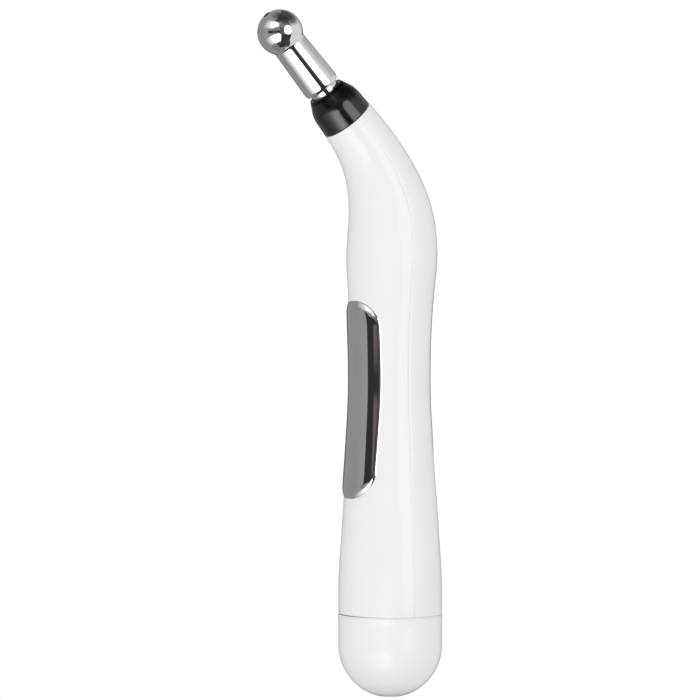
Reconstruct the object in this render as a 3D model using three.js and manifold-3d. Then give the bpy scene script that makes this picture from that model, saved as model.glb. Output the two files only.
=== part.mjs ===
// Electric acupuncture pen: a curved two-shell grip with a battery in its lower end, a pulse circuit
// behind a display and two buttons, and a polished plug-in ball head. Units are millimetres.
// Heights are measured up from the lowest point of the battery cap, along the handle's axis. The
// finished pen is lowered so that the origin lies on that axis, at the middle of the grip.
// The pen bends over towards -X. The contact plate is on that side, the display and buttons on +X.
import * as THREE from 'three';
import { mergeVertices } from 'three/addons/utils/BufferGeometryUtils.js';
import Module from 'manifold-3d';

const wasm = await Module();
wasm.setup();

// General clearances
const fitGap = 0.3;
const slipGap = 0.15;
const cutOverrun = 1;
const roundSegments = 36;
const smallSegments = 20;
const bodySegments = 40;
const hollowSegments = 28;
const skinSegments = 52;

// Grip body
const gripHeight = 86;
const taperHeight = 32;
const taperLength = 59;
const waistRadius = 11.62;
const swellLength = 37;
const shoulderRadius = 13.3;
const shoulderLength = 5.4;
const shoulderSwing = 0.6;
const noseRadius = 7.95;
const bodyWall = 1.9;
const bodyStep = 6;

// Bend of the neck: an arc between the straight handle and the straight nose
const bendRadius = 47.6;
const neckLean = THREE.MathUtils.degToRad(41.4);
const noseEnd = 3.2;
const waistHeight = taperHeight + taperLength;
const shoulderHeight = waistHeight + swellLength;
const bendHeight = shoulderHeight + shoulderLength;
const bendEnd = bendHeight + bendRadius * neckLean;
const bodyLength = bendEnd + noseEnd;

// How the radius goes between the named heights: share of the way along, share of the change
const taperShares = [[0.24, 0.22], [0.475, 0.5], [0.73, 0.8]];
const swellShares = [[0.32, 0.11], [0.68, 0.49]];
const neckShares = [[0.14, 0.05], [0.33, 0.24], [0.55, 0.56], [0.75, 0.81]];

// Battery cap
const capHeight = 23.75;
const capWall = 1.9;
const capFlatRadius = 3.85;
const capSeatHeight = 6;
const capSeatRadius = 6.5;
const capBead = 0.2;

// Battery, an AA cell
const batteryRadius = 7.25;
const batteryBody = 49.5;
const batteryNub = 1.1;
const batteryNubRadius = 2.75;
const batteryHeight = 13.6;

// Chassis: the battery's tube and the ring that joins cap and shells
const tubeWall = 0.95;
const tubeHeight = 15.5;
const tubeRoof = 1.4;
const ringThickness = 1.5;
const ringSpacing = 2.25;
const ringHeight = 15.5;
const ringTop = 30.5;
const webThickness = 1.6;
const ribInset = 3.5;
const ribWidth = 1.4;
const ribDepth = 0.9;

// Battery contacts
const contactThickness = 0.5;
const contactRadius = 4;
const contactTail = 0.7;
const contactTailOffset = 4.6;
const contactTailLength = 4.2;
const capContactRadius = 7.4;
const stripWidth = 3;
const stripTail = 4.1;
const fingerReach = 4;
const springWire = 0.4;
const springRadius = 4;
const springTurns = 4;

// Circuit board
const boardThickness = 1.2;
const boardEdgeGap = 1.2;
const boardPostRadius = 2;
const boardPostInset = 3;

// Screws
const screwRadius = 1;
const screwHeadRadius = 1.9;
const screwHeadHeight = 1.1;
const screwSlot = 0.5;
const shellPostRadius = 2.6;
const shellPostFace = 1.2;
const shellPostSpacing = 4.9;
const shellScrewReach = 7;
const boardScrewReach = 3.2;

// Contact plate
const plateDrop = 4.8;
const plateLength = 57.3;
const plateHalfWidth = 9.1;
const plateCorner = 7.5;
const plateProud = 0.7;
const plateSunk = 0.9;
const studRadius = 1.2;
const studInset = 10.7;
const studSpacing = 2.4;
const studReach = 3.3;
const nutRadius = 2.7;
const nutHeight = 1.9;
const terminalThickness = 0.5;
const terminalTail = 5.2;

// Control panel, display and buttons
const panelMargin = 4;
const panelHalfWidth = 5;
const panelProud = 0.15;
const panelSunk = 0.85;
const windowSpacing = 5.1;
const windowLength = 14.4;
const windowHalfWidth = 4.1;
const windowThickness = 1;
const windowCorner = 1;
const lcdThickness = 2;
const lcdLength = 16;
const lcdHalfWidth = 4.6;
const lcdFrameWall = 0.9;
const lcdFrameDepth = 2.1;
const buttonSize = 6.6;
const buttonCorner = 2.2;
const buttonProud = 0.3;
const buttonFlange = 0.9;
const buttonFlangeThickness = 0.7;
const buttonTravel = 0.5;
const buttonSpacing = 4.4;
const minusSpacing = 1.9;
const signSize = 3.2;
const signStroke = 0.7;
const signProud = 0.25;
const switchSize = 4.6;
const plungerRadius = 1;

// Parts on the back of the board
const transformerLength = 10;
const transformerWidth = 9.6;
const transformerDepth = 5;
const transformerLimb = 1.9;
const coilProud = 1.2;
const controllerSize = 5.4;
const controllerThickness = 1.6;
const capacitorRadius = 2.3;
const capacitorLength = 7.4;
const buzzerRadius = 4.2;
const buzzerThickness = 2.6;

// Nose collar, socket and light, placed along the nose from the bend's end
const collarRadius = 7.88;
const collarEdge = 9.75;
const collarEdgeRadius = 7.41;
const collarTip = 13.9;
const collarTipRadius = 5.15;
const spigotRadius = 6;
const spigotDepth = 9;
const spigotRibOffset = 6.3;
const socketRadius = 4.25;
const socketBore = 3;
const socketProud = 1.15;
const socketFlangeRadius = 5.5;
const socketFlange = 1.2;
const holderRadius = 5.2;
const holderFlange = 1.2;
const holderBoss = 2.7;
const ledRadius = 1.5;
const ledLength = 5;
const ledRim = 0.4;
const ledRimThickness = 0.8;

// Plug-in massage head
const ballRadius = 6.55;
const ballCentre = 35.65;
const stemRadius = 5.5;
const stemNeckRadius = 5.02;
const stemRound = 1.9;
const stemFootRadius = 4.85;
const plugRadius = 2.6;
const plugLength = 13.2;
const lightBore = 1;
const ringSection = 0.42;
const ringShare = 0.45;

// Inner wires
const leadRadius = 0.55;
const leadSides = 8;

// The lower end is as wide as the cell with its tube, the contact strip and the ring need
const tubeInner = batteryRadius + fitGap;
const tubeOuter = tubeInner + tubeWall;
const stripInner = tubeOuter + slipGap;
const stripOuter = stripInner + contactThickness;
const ringOuter = stripOuter + ringSpacing + ringThickness;
const baseRadius = ringOuter + fitGap + bodyWall;

// Heights of the inner parts, each from its neighbour below it
const batteryTop = batteryHeight + batteryBody;
const contactLow = batteryTop + batteryNub + slipGap;
const tubeRoofLow = contactLow + contactThickness + slipGap;
const tubeTop = tubeRoofLow + tubeRoof;
const shellPostLow = tubeTop + shellPostSpacing;
const boardLow = shellPostLow + shellPostRadius + boardEdgeGap;
const boardPostLow = boardLow + boardPostInset;
const minusHeight = boardPostLow + boardPostRadius + minusSpacing + buttonFlange + buttonSize / 2;
const plusHeight = minusHeight + buttonSize + buttonSpacing;
const windowHeight = plusHeight + buttonSize / 2 + windowSpacing + windowLength / 2;
const boardPostTop = windowHeight + lcdLength / 2 + fitGap + boardPostRadius;
const boardTop = boardPostTop + boardPostInset;
const shellPostTop = boardTop + fitGap * 2 + shellPostRadius;
const panelHeight = (shellPostLow + shellPostTop) / 2;
const panelLength = shellPostTop - shellPostLow + panelMargin * 2;
const plateHeight = waistHeight - plateDrop;
const studHeights = [
  shellPostLow + shellPostRadius + studSpacing + nutRadius, plateHeight + plateLength / 2 - studInset,
];

// The four parts on the back of the board share the room between its screws evenly
const backLow = boardPostLow + screwHeadRadius;
const backLengths = [capacitorRadius * 2, controllerSize, buzzerRadius * 2, transformerLength];
const backRoom = boardPostTop - screwHeadRadius - backLow - backLengths.reduce((sum, size) => sum + size);
const backSpacing = backRoom / (backLengths.length + 1);
const [capacitorHeight, controllerHeight, buzzerHeight, transformerHeight] = backLengths.map(
  (size, i) => backLow + backSpacing * (i + 1)
    + backLengths.slice(0, i).reduce((sum, below) => sum + below, 0) + size / 2);

const unlit = (color, roughness, metalness) => (
  new THREE.MeshStandardMaterial({ color, roughness, metalness }));
const whitePlastic = unlit(0xf1efec, 0.28, 0);
const blackPlastic = unlit(0x1b1b1d, 0.2, 0);
const greyPlastic = unlit(0x4a4c50, 0.45, 0);
const polishedMetal = unlit(0xd8d9dc, 0.08, 1);
const plainSteel = unlit(0xa9abb0, 0.35, 1);
const brassMetal = unlit(0xb9974c, 0.3, 1);
const boardGreen = unlit(0x1f5a39, 0.5, 0);
const ferriteGrey = unlit(0x3b3a3c, 0.7, 0);
const copperWire = unlit(0xb06a3a, 0.4, 0.8);
const clearPlastic = unlit(0x2a2f33, 0.1, 0);
const softRubber = unlit(0x242426, 0.8, 0);
const displayGlass = unlit(0x8c978a, 0.2, 0);
const ledRed = unlit(0xc8402f, 0.2, 0);
const cellBlue = unlit(0x2c5ea8, 0.35, 0.3);
const wireRed = unlit(0xa8322c, 0.6, 0);
const wireBlack = unlit(0x202022, 0.6, 0);

// Closed solids from geometry

const shared = (geometry) => {
  const bare = geometry.index ? geometry.clone() : geometry;
  for (const name of Object.keys(bare.attributes)) if (name !== 'position') bare.deleteAttribute(name);
  return mergeVertices(bare, 1e-5);
};

const solid = (geometry) => {
  const merged = shared(geometry);
  const triVerts = new Uint32Array(merged.index.array);
  const make = () => new wasm.Manifold(new wasm.Mesh({
    numProp: 3, vertProperties: new Float32Array(merged.attributes.position.array), triVerts,
  }));
  const first = make();
  if (first.volume() > 0) return first;
  triVerts.reverse();
  return make();
};

const geometryOf = (manifold) => {
  const { vertProperties, triVerts, numProp } = manifold.getMesh();
  const geometry = new THREE.BufferGeometry();
  const places = new Float32Array(vertProperties.length / numProp * 3);
  for (let i = 0; i < places.length / 3; i += 1) {
    places.set(vertProperties.subarray(i * numProp, i * numProp + 3), i * 3);
  }
  geometry.setAttribute('position', new THREE.BufferAttribute(places, 3));
  geometry.setIndex(new THREE.BufferAttribute(new Uint32Array(triVerts), 1));
  geometry.computeVertexNormals();
  return geometry;
};

const joined = (...solids) => solids.reduce((whole, piece) => whole.add(piece));
const cut = (whole, ...tools) => tools.reduce((rest, tool) => rest.subtract(tool), whole);

// A turned solid about Z, from [radius, height] points that start and end on the axis
const turned = (profile, segments = roundSegments) => {
  const points = profile.map(([radius, height]) => new THREE.Vector2(radius, height));
  return solid(new THREE.LatheGeometry(points, segments).rotateX(Math.PI / 2));
};

const rod = (radius, low, top, segments = smallSegments) => solid(
  new THREE.CylinderGeometry(radius, radius, top - low, segments)
    .rotateX(Math.PI / 2).translate(0, 0, (low + top) / 2),
);

// The same rod laid along X, at a place across it and a height
const crossRod = (radius, from, to, height, across = 0, segments = smallSegments) => solid(
  new THREE.CylinderGeometry(radius, radius, to - from, segments)
    .rotateZ(-Math.PI / 2).translate((from + to) / 2, across, height),
);

const block = (from, to) => solid(
  new THREE.BoxGeometry(to[0] - from[0], to[1] - from[1], to[2] - from[2])
    .translate((from[0] + to[0]) / 2, (from[1] + to[1]) / 2, (from[2] + to[2]) / 2),
);

const roundedOutline = (halfWidth, halfLength, corner) => {
  const shape = new THREE.Shape();
  const [inX, inY] = [halfWidth - corner, halfLength - corner];
  shape.absarc(inX, inY, corner, 0, Math.PI / 2);
  shape.absarc(-inX, inY, corner, Math.PI / 2, Math.PI);
  shape.absarc(-inX, -inY, corner, Math.PI, Math.PI * 1.5);
  shape.absarc(inX, -inY, corner, Math.PI * 1.5, Math.PI * 2);
  return shape;
};

// An outline drawn in Y and Z, carried along X
const acrossX = new THREE.Matrix4().makeBasis(
  new THREE.Vector3(0, 1, 0), new THREE.Vector3(0, 0, 1), new THREE.Vector3(1, 0, 0),
);
const prism = (outline, from, to, height, curveSegments = 6) => solid(
  new THREE.ExtrudeGeometry(outline, { depth: to - from, bevelEnabled: false, curveSegments })
    .applyMatrix4(acrossX).translate(from, 0, height),
);

// An outline drawn in X and Z, carried equally to both sides along Y
const slab = (outline, halfWidth) => solid(
  new THREE.ExtrudeGeometry(outline, { depth: halfWidth * 2, bevelEnabled: false, curveSegments: 8 })
    .rotateX(Math.PI / 2).translate(0, halfWidth, 0),
);

const lead = (points, radius = leadRadius, stepsPerSpan = 3) => {
  const path = new THREE.CatmullRomCurve3(points.map((point) => new THREE.Vector3(...point)));
  const section = new THREE.Shape();
  section.absarc(0, 0, radius, 0, Math.PI * 2);
  return solid(new THREE.ExtrudeGeometry(section, {
    steps: (points.length - 1) * stepsPerSpan, curveSegments: leadSides / 2, bevelEnabled: false,
    extrudePath: path,
  }));
};

// The grip's own surface

const mix = (from, to, share) => from + (to - from) * share;
const stretch = (low, lowRadius, top, topRadius, shares) => shares.map(([along, change]) => (
  [mix(low, top, along), mix(lowRadius, topRadius, change)]));
const gripTable = [
  [0, baseRadius],
  [taperHeight, baseRadius],
  ...stretch(taperHeight, baseRadius, waistHeight, waistRadius, taperShares),
  [waistHeight, waistRadius],
  ...stretch(waistHeight, waistRadius, shoulderHeight, shoulderRadius, swellShares),
  [shoulderHeight, shoulderRadius],
  ...stretch(shoulderHeight, shoulderRadius, bodyLength, noseRadius, neckShares),
  [bodyLength, noseRadius],
];

// Radius of the grip at a distance along its centreline: a smooth curve through the table
const gripRadius = (along) => {
  const last = gripTable.length - 2;
  const found = gripTable.findIndex(([height]) => height > along) - 1;
  const i = found < 0 ? last : Math.min(found, last);
  const rise = (k) => (gripTable[k + 1][1] - gripTable[k][1]) / (gripTable[k + 1][0] - gripTable[k][0]);
  const slope = (k) => {
    if (k === 0 || k > last) return rise(Math.min(k, last));
    return rise(k - 1) * rise(k) > 0 ? (rise(k - 1) + rise(k)) / 2 : 0;
  };
  const span = gripTable[i + 1][0] - gripTable[i][0];
  const t = (along - gripTable[i][0]) / span;
  return (2 * t ** 3 - 3 * t ** 2 + 1) * gripTable[i][1] + (t ** 3 - 2 * t ** 2 + t) * span * slope(i)
    + (3 * t ** 2 - 2 * t ** 3) * gripTable[i + 1][1] + (t ** 3 - t ** 2) * span * slope(i + 1);
};

// The shoulder swings out a little towards +X between the waist and the bend
const swingLow = mix(waistHeight, shoulderHeight, 0.35);
const swingTop = bendEnd;
const swingAt = (along) => {
  const share = (along - swingLow) / (swingTop - swingLow);
  return share > 0 && share < 1 ? shoulderSwing * Math.sin(Math.PI * share) ** 2 : 0;
};

const centreAt = (along) => {
  const turn = Math.min(Math.max((along - bendHeight) / bendRadius, 0), neckLean);
  const straight = along - turn * bendRadius - Math.min(along, bendHeight);
  return {
    x: swingAt(along) - bendRadius * (1 - Math.cos(turn)) - straight * Math.sin(turn),
    z: Math.min(along, bendHeight) + bendRadius * Math.sin(turn) + straight * Math.cos(turn),
    turn,
  };
};

// The grip's surface moved in by an inset, as a solid between two distances along the centreline
const gripSolid = (inset, low, top, segments = bodySegments) => {
  const rings = Math.ceil((top - low) / bodyStep);
  const places = [];
  for (let i = 0; i <= rings; i += 1) {
    const along = mix(low, top, i / rings);
    const { x, z, turn } = centreAt(along);
    const radius = gripRadius(along) - inset;
    for (let j = 0; j < segments; j += 1) {
      const angle = j / segments * Math.PI * 2;
      const out = radius * Math.cos(angle);
      places.push(x + out * Math.cos(turn), radius * Math.sin(angle), z + out * Math.sin(turn));
    }
  }
  const [first, end] = [centreAt(low), centreAt(top)];
  const lowCentre = places.length / 3;
  places.push(first.x, 0, first.z, end.x, 0, end.z);
  const faces = [];
  for (let j = 0; j < segments; j += 1) {
    const next = (j + 1) % segments;
    for (let i = 0; i < rings; i += 1) {
      const [a, b] = [i * segments + j, i * segments + next];
      faces.push(a, b, b + segments, a, b + segments, a + segments);
    }
    faces.push(lowCentre, next, j, lowCentre + 1, rings * segments + j, rings * segments + next);
  }
  const geometry = new THREE.BufferGeometry();
  geometry.setAttribute('position', new THREE.Float32BufferAttribute(places, 3));
  geometry.setIndex(faces);
  return solid(geometry);
};

// The nose's own frame: +Z along the nose, zero where the bend ends
const noseStart = centreAt(bendEnd);
const noseMatrix = new THREE.Matrix4().makeRotationY(-neckLean)
  .setPosition(noseStart.x, 0, noseStart.z);
const onNose = (piece) => solid(geometryOf(piece).applyMatrix4(noseMatrix));

// Shells

const shellLow = capHeight + fitGap / 2;
const halfGap = slipGap / 2;
const collarSeat = noseEnd + slipGap;
const socketLow = noseEnd - spigotDepth - fitGap - socketFlange;
const holderLow = socketLow - fitGap - holderFlange;
const noseBore = spigotRadius + fitGap;

// Everything on one side of the surface that parts the two shells, which follows the centreline
const shellSide = (side) => {
  const reach = baseRadius * 6;
  const outline = new THREE.Shape();
  outline.moveTo(side * reach, -cutOverrun);
  const steps = 48;
  for (let i = 0; i <= steps; i += 1) {
    const { x, z, turn } = centreAt(mix(-cutOverrun, bodyLength + cutOverrun, i / steps));
    outline.lineTo(x + side * halfGap * Math.cos(turn), z + side * halfGap * Math.sin(turn));
  }
  outline.lineTo(side * reach, bodyLength + reach);
  return slab(outline, baseRadius * 2);
};

const ribHeight = ringTop - ribInset;
const shellCavity = () => {
  const ribGroove = rod(ringOuter + ribDepth + fitGap, ribHeight - fitGap, ribHeight + ribWidth + fitGap, 40);
  const bore = rod(noseBore, holderLow - fitGap * 3, noseEnd + cutOverrun, 28);
  const noseGroove = rod(
    spigotRadius + ribDepth / 2 + fitGap,
    noseEnd - spigotRibOffset - fitGap, noseEnd - spigotRibOffset + ribWidth + fitGap, 28,
  );
  const hollow = gripSolid(bodyWall, shellLow - cutOverrun, bendEnd - noseBore, hollowSegments);
  return joined(hollow, ribGroove, onNose(bore), onNose(noseGroove));
};

const gripOuter = gripSolid(0, shellLow, bodyLength);
const gripHollow = shellCavity();
const gripTube = gripOuter.subtract(gripHollow);

// Posts grow out of the wall's inner half, so they never show outside
const postZone = gripSolid((bodyWall + plateSunk) / 2, shellLow, bendEnd, hollowSegments);

const plateOutline = (grow) => roundedOutline(
  plateHalfWidth + grow, plateLength / 2 + grow, plateCorner + grow);
const panelOutline = (grow) => roundedOutline(
  panelHalfWidth + grow, panelLength / 2 + grow, panelHalfWidth + grow);
const windowOutline = (grow) => roundedOutline(
  windowHalfWidth + grow, windowLength / 2 + grow, windowCorner + grow);
const buttonOutline = (grow) => roundedOutline(
  buttonSize / 2 + grow, buttonSize / 2 + grow, buttonCorner + grow);
const buttonHeights = [minusHeight, plusHeight];

// A skin that follows the grip's surface, from below it to above it, inside an outline
const skin = (outline, height, halfLength, sunk, proud, side) => {
  const [low, top] = [height - halfLength - bodyStep, height + halfLength + bodyStep];
  const outer = gripSolid(-proud, low, top, skinSegments);
  const inner = gripSolid(sunk, low - cutOverrun, top + cutOverrun, skinSegments);
  const far = baseRadius * 2;
  const zone = side < 0 ? prism(outline, -far, 0, height, 7) : prism(outline, 0, far, height, 7);
  return outer.subtract(inner).intersect(zone);
};

const innerWall = (height) => gripRadius(height) - bodyWall;

// The display lies close to the shell's inside, and the board stands its frame's depth behind it
const lcdReach = innerWall(windowHeight - lcdLength / 2);
const lcdFace = Math.sqrt(lcdReach ** 2 - lcdHalfWidth ** 2) - fitGap;
const lcdBack = lcdFace - lcdThickness;
const boardFront = lcdBack - lcdFrameDepth;
const boardBack = boardFront - boardThickness;

// The front shell carries the plate, the rear shell the board, the panel and the screws' heads
const frontShell = () => {
  let shell = gripTube.intersect(shellSide(-1));
  const pocket = skin(plateOutline(fitGap), plateHeight, plateLength / 2, plateSunk, cutOverrun, -1);
  shell = shell.subtract(pocket);
  for (const height of [shellPostLow, shellPostTop]) {
    const post = crossRod(shellPostRadius, -baseRadius, shellPostFace - fitGap, height).intersect(postZone);
    const tapping = crossRod(
      screwRadius + slipGap, shellPostFace - shellScrewReach - fitGap, shellPostFace + cutOverrun, height);
    shell = cut(shell.add(post), tapping);
  }
  for (const height of studHeights) {
    shell = shell.subtract(crossRod(studRadius + fitGap, -baseRadius, 0, height));
  }
  return shell;
};

const screwSeat = (height) => gripRadius(height) - panelSunk - fitGap - screwHeadHeight;

const rearShell = () => {
  let shell = gripTube.intersect(shellSide(1));
  const pocket = skin(
    panelOutline(fitGap), panelHeight, panelLength / 2, panelSunk + slipGap, cutOverrun, 1);
  for (const height of [shellPostLow, shellPostTop]) {
    shell = shell.add(crossRod(shellPostRadius, shellPostFace, baseRadius, height).intersect(postZone));
  }
  for (const height of [boardPostLow, boardPostTop]) {
    shell = shell.add(
      crossRod(boardPostRadius, boardFront + slipGap, baseRadius, height).intersect(postZone));
  }
  shell = shell.subtract(pocket);
  for (const height of [shellPostLow, shellPostTop]) {
    shell = cut(
      shell,
      crossRod(screwHeadRadius + fitGap, screwSeat(height) - slipGap, baseRadius, height),
      crossRod(screwRadius + slipGap, 0, baseRadius, height),
    );
  }
  for (const height of [boardPostLow, boardPostTop]) {
    shell = shell.subtract(crossRod(
      screwRadius + slipGap, 0, boardFront + boardScrewReach + fitGap, height));
  }
  shell = shell.subtract(prism(windowOutline(fitGap), 0, baseRadius, windowHeight));
  for (const height of buttonHeights) {
    shell = shell.subtract(prism(buttonOutline(fitGap), boardFront, baseRadius, height));
  }
  return shell;
};

// Battery cap: a dome with a small flat at its lowest point

const capTop = capHeight - fitGap / 2;
const capDomeHeight = Math.sqrt(baseRadius ** 2 - capFlatRadius ** 2);
const domePoints = (radius, centre, from, to, steps) => {
  const points = [];
  for (let i = 0; i <= steps; i += 1) {
    const angle = mix(from, to, i / steps);
    points.push([radius * Math.cos(angle), centre + radius * Math.sin(angle)]);
  }
  return points;
};

const batteryCap = () => {
  const flatAngle = -Math.asin(capDomeHeight / baseRadius);
  const outer = turned([
    [0, 0], ...domePoints(baseRadius, capDomeHeight, flatAngle, 0, 10), [baseRadius, capTop], [0, capTop],
  ], bodySegments);
  const innerRadius = baseRadius - capWall;
  const innerFlat = -Math.asin((capDomeHeight - capWall) / innerRadius);
  const hollow = turned([
    [0, capWall], ...domePoints(innerRadius, capDomeHeight, innerFlat, 0, 5),
    [innerRadius, capTop + cutOverrun], [0, capTop + cutOverrun],
  ], hollowSegments);
  const groove = rod(
    innerRadius + capBead * 2, ringHeight + ribWidth, ringHeight + ribWidth * 2 + fitGap * 2, hollowSegments);
  const seat = rod(capSeatRadius, capWall / 2, capSeatHeight);
  return joined(cut(outer, hollow, groove), seat);
};

// Chassis

const chassis = () => {
  const tube = cut(
    rod(tubeOuter, tubeHeight, tubeTop, 30),
    rod(tubeInner, tubeHeight - cutOverrun, tubeRoofLow, 30),
  );
  const ring = cut(
    rod(ringOuter, ringHeight, ringTop, roundSegments),
    rod(ringOuter - ringThickness, ringHeight - cutOverrun, ringTop + cutOverrun, roundSegments),
  );
  const web = cut(
    rod(ringOuter - ringThickness / 2, ringTop - webThickness, ringTop, roundSegments),
    rod(tubeOuter - tubeWall / 2, ringTop - webThickness * 2, ringTop + cutOverrun, 30),
  );
  const rib = cut(
    rod(ringOuter + ribDepth, ribHeight, ribHeight + ribWidth, roundSegments),
    rod(
      ringOuter - ringThickness / 2,
      ribHeight - cutOverrun, ribHeight + ribWidth + cutOverrun, roundSegments,
    ),
  );
  const beadLow = ringHeight + ribWidth + fitGap;
  const bead = cut(
    rod(ringOuter + capBead, beadLow, beadLow + ribWidth, roundSegments),
    rod(ringOuter - ringThickness / 2, beadLow - cutOverrun, beadLow + ribWidth + cutOverrun, roundSegments),
  );
  const tailHole = rod(contactTail + fitGap, tubeRoofLow - cutOverrun, tubeTop + cutOverrun, 12)
    .translate([0, -contactTailOffset, 0]);
  const stripSlot = block(
    [-stripWidth / 2 - fitGap, tubeOuter, ringTop - webThickness - cutOverrun],
    [stripWidth / 2 + fitGap, stripOuter + fitGap, ringTop + cutOverrun],
  );
  return cut(joined(tube, web, ring, rib, bead), tailHole, stripSlot);
};

const battery = () => {
  const [low, edge] = [batteryHeight, batteryRadius * 0.06];
  return turned([
    [0, low], [batteryRadius - edge, low], [batteryRadius, low + edge], [batteryRadius, batteryTop - edge],
    [batteryRadius - edge, batteryTop], [batteryNubRadius, batteryTop],
    [batteryNubRadius, batteryTop + batteryNub], [0, batteryTop + batteryNub],
  ], 28);
};

const positiveContact = () => joined(
  rod(contactRadius, contactLow, contactLow + contactThickness),
  block(
    [-contactTail, -contactTailOffset - contactTail, contactLow],
    [contactTail, 0, contactLow + contactThickness],
  ),
  rod(contactTail, contactLow, tubeTop + contactTailLength, 10).translate([0, -contactTailOffset, 0]),
);

const stripTop = tubeTop + stripTail;
const negativeStrip = () => block(
  [-stripWidth / 2, stripInner, tubeHeight], [stripWidth / 2, stripOuter, stripTop]);

// The cap's contact: a disc under the spring, with a finger that reaches up past the strip
const capContactLow = capSeatHeight + slipGap;
const fingerInner = stripOuter + fitGap;
const fingerTop = tubeHeight + fingerReach;
const capContact = () => {
  const disc = rod(capContactRadius, capContactLow, capContactLow + contactThickness);
  const outline = new THREE.Shape();
  const bendLow = capContactLow + contactThickness;
  const rise = fingerInner - capContactRadius;
  outline.moveTo(capSeatRadius / 2, capContactLow);
  outline.lineTo(capContactRadius, capContactLow);
  outline.lineTo(fingerInner + contactThickness, bendLow + rise);
  outline.lineTo(fingerInner + contactThickness, fingerTop);
  outline.lineTo(fingerInner, fingerTop);
  outline.lineTo(fingerInner, bendLow + rise);
  outline.lineTo(capContactRadius, bendLow);
  outline.lineTo(capSeatRadius / 2, bendLow);
  const finger = prism(outline, -stripWidth / 2, stripWidth / 2, 0);
  return disc.add(finger);
};

// One unbroken coil from the contact disc up to the battery
const springLow = capContactLow + contactThickness + springWire + slipGap;
const springTop = batteryHeight - springWire - slipGap;
const capSpring = () => {
  const points = [];
  const stepsPerTurn = 12;
  for (let i = 0; i <= springTurns * stepsPerTurn; i += 1) {
    const angle = i / stepsPerTurn * Math.PI * 2;
    const height = mix(springLow, springTop, i / (springTurns * stepsPerTurn));
    points.push([springRadius * Math.cos(angle), springRadius * Math.sin(angle), height]);
  }
  return lead(points, springWire, 1);
};

// Circuit board and what stands on it

const boardRadius = Math.min(innerWall(waistHeight), innerWall(boardLow));
const boardHalfWidth = Math.sqrt(boardRadius ** 2 - boardFront ** 2) - boardEdgeGap;

const circuitBoard = () => {
  const middle = (boardLow + boardTop) / 2;
  const outline = roundedOutline(boardHalfWidth, (boardTop - boardLow) / 2, boardEdgeGap);
  let board = prism(outline, boardBack, boardFront, middle, 3);
  for (const height of [boardPostLow, boardPostTop]) {
    board = board.subtract(crossRod(screwRadius + slipGap, 0, baseRadius, height));
  }
  return board;
};

// A pan-head screw along X. Its head's underside is at the seat; facing +1 points the head to +X
const screw = (seat, reach, height, facing) => {
  const span = (from, to) => [Math.min(from, to), Math.max(from, to)];
  const [headFrom, headTo] = span(seat, seat + facing * screwHeadHeight);
  const [bodyFrom, bodyTo] = span(seat + facing * screwHeadHeight / 2, seat - facing * reach);
  const head = crossRod(screwHeadRadius, headFrom, headTo, height);
  const shank = crossRod(screwRadius, bodyFrom, bodyTo, height, 0, 12);
  const [slotFrom, slotTo] = span(
    seat + facing * screwHeadHeight / 2, seat + facing * (screwHeadHeight + cutOverrun));
  const arm = screwHeadRadius * 0.6;
  const cross = [[screwSlot / 2, arm], [arm, screwSlot / 2]].map(([halfY, halfZ]) => block(
    [slotFrom, -halfY, height - halfZ], [slotTo, halfY, height + halfZ]));
  return cut(head.add(shank), ...cross);
};

const shellScrew = (height) => screw(
  screwSeat(height), screwSeat(height) - shellPostFace + shellScrewReach, height, 1);
const boardScrew = (height) => screw(
  boardBack - slipGap, boardThickness + slipGap + boardScrewReach, height, -1);

const windowReach = gripRadius(windowHeight - windowLength / 2) + panelProud;
const windowFace = Math.sqrt(windowReach ** 2 - windowHalfWidth ** 2) - slipGap / 2;
const displayWindow = () => prism(
  windowOutline(0), windowFace - windowThickness, windowFace, windowHeight);

const lcdPanel = () => block(
  [lcdBack, -lcdHalfWidth, windowHeight - lcdLength / 2],
  [lcdFace, lcdHalfWidth, windowHeight + lcdLength / 2],
);

// The frame stands on the board and carries the display; the connector strip lies in its upper slot
const frameFace = lcdBack - slipGap;
const frameInnerTop = windowHeight + lcdLength / 2 - lcdFrameWall;
const connectorLow = frameInnerTop - lcdFrameWall * 2;
const lcdFrame = () => {
  const outer = block(
    [boardFront + slipGap, -lcdHalfWidth, windowHeight - lcdLength / 2],
    [frameFace, lcdHalfWidth, windowHeight + lcdLength / 2],
  );
  const opening = (low, top) => block(
    [boardFront - cutOverrun, lcdFrameWall - lcdHalfWidth, low],
    [frameFace + cutOverrun, lcdHalfWidth - lcdFrameWall, top],
  );
  return cut(
    outer,
    opening(windowHeight - lcdLength / 2 + lcdFrameWall, connectorLow - lcdFrameWall),
    opening(connectorLow, frameInnerTop),
  );
};
const lcdConnector = () => block(
  [boardFront + slipGap, lcdFrameWall - lcdHalfWidth + fitGap, connectorLow + slipGap],
  [frameFace, lcdHalfWidth - lcdFrameWall - fitGap, frameInnerTop - slipGap],
);

const controlPanel = () => {
  let panel = skin(panelOutline(0), panelHeight, panelLength / 2, panelSunk, panelProud, 1);
  panel = panel.subtract(prism(windowOutline(fitGap), 0, baseRadius, windowHeight));
  for (const height of buttonHeights) {
    panel = panel.subtract(prism(buttonOutline(fitGap), 0, baseRadius, height));
  }
  return panel;
};

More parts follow.
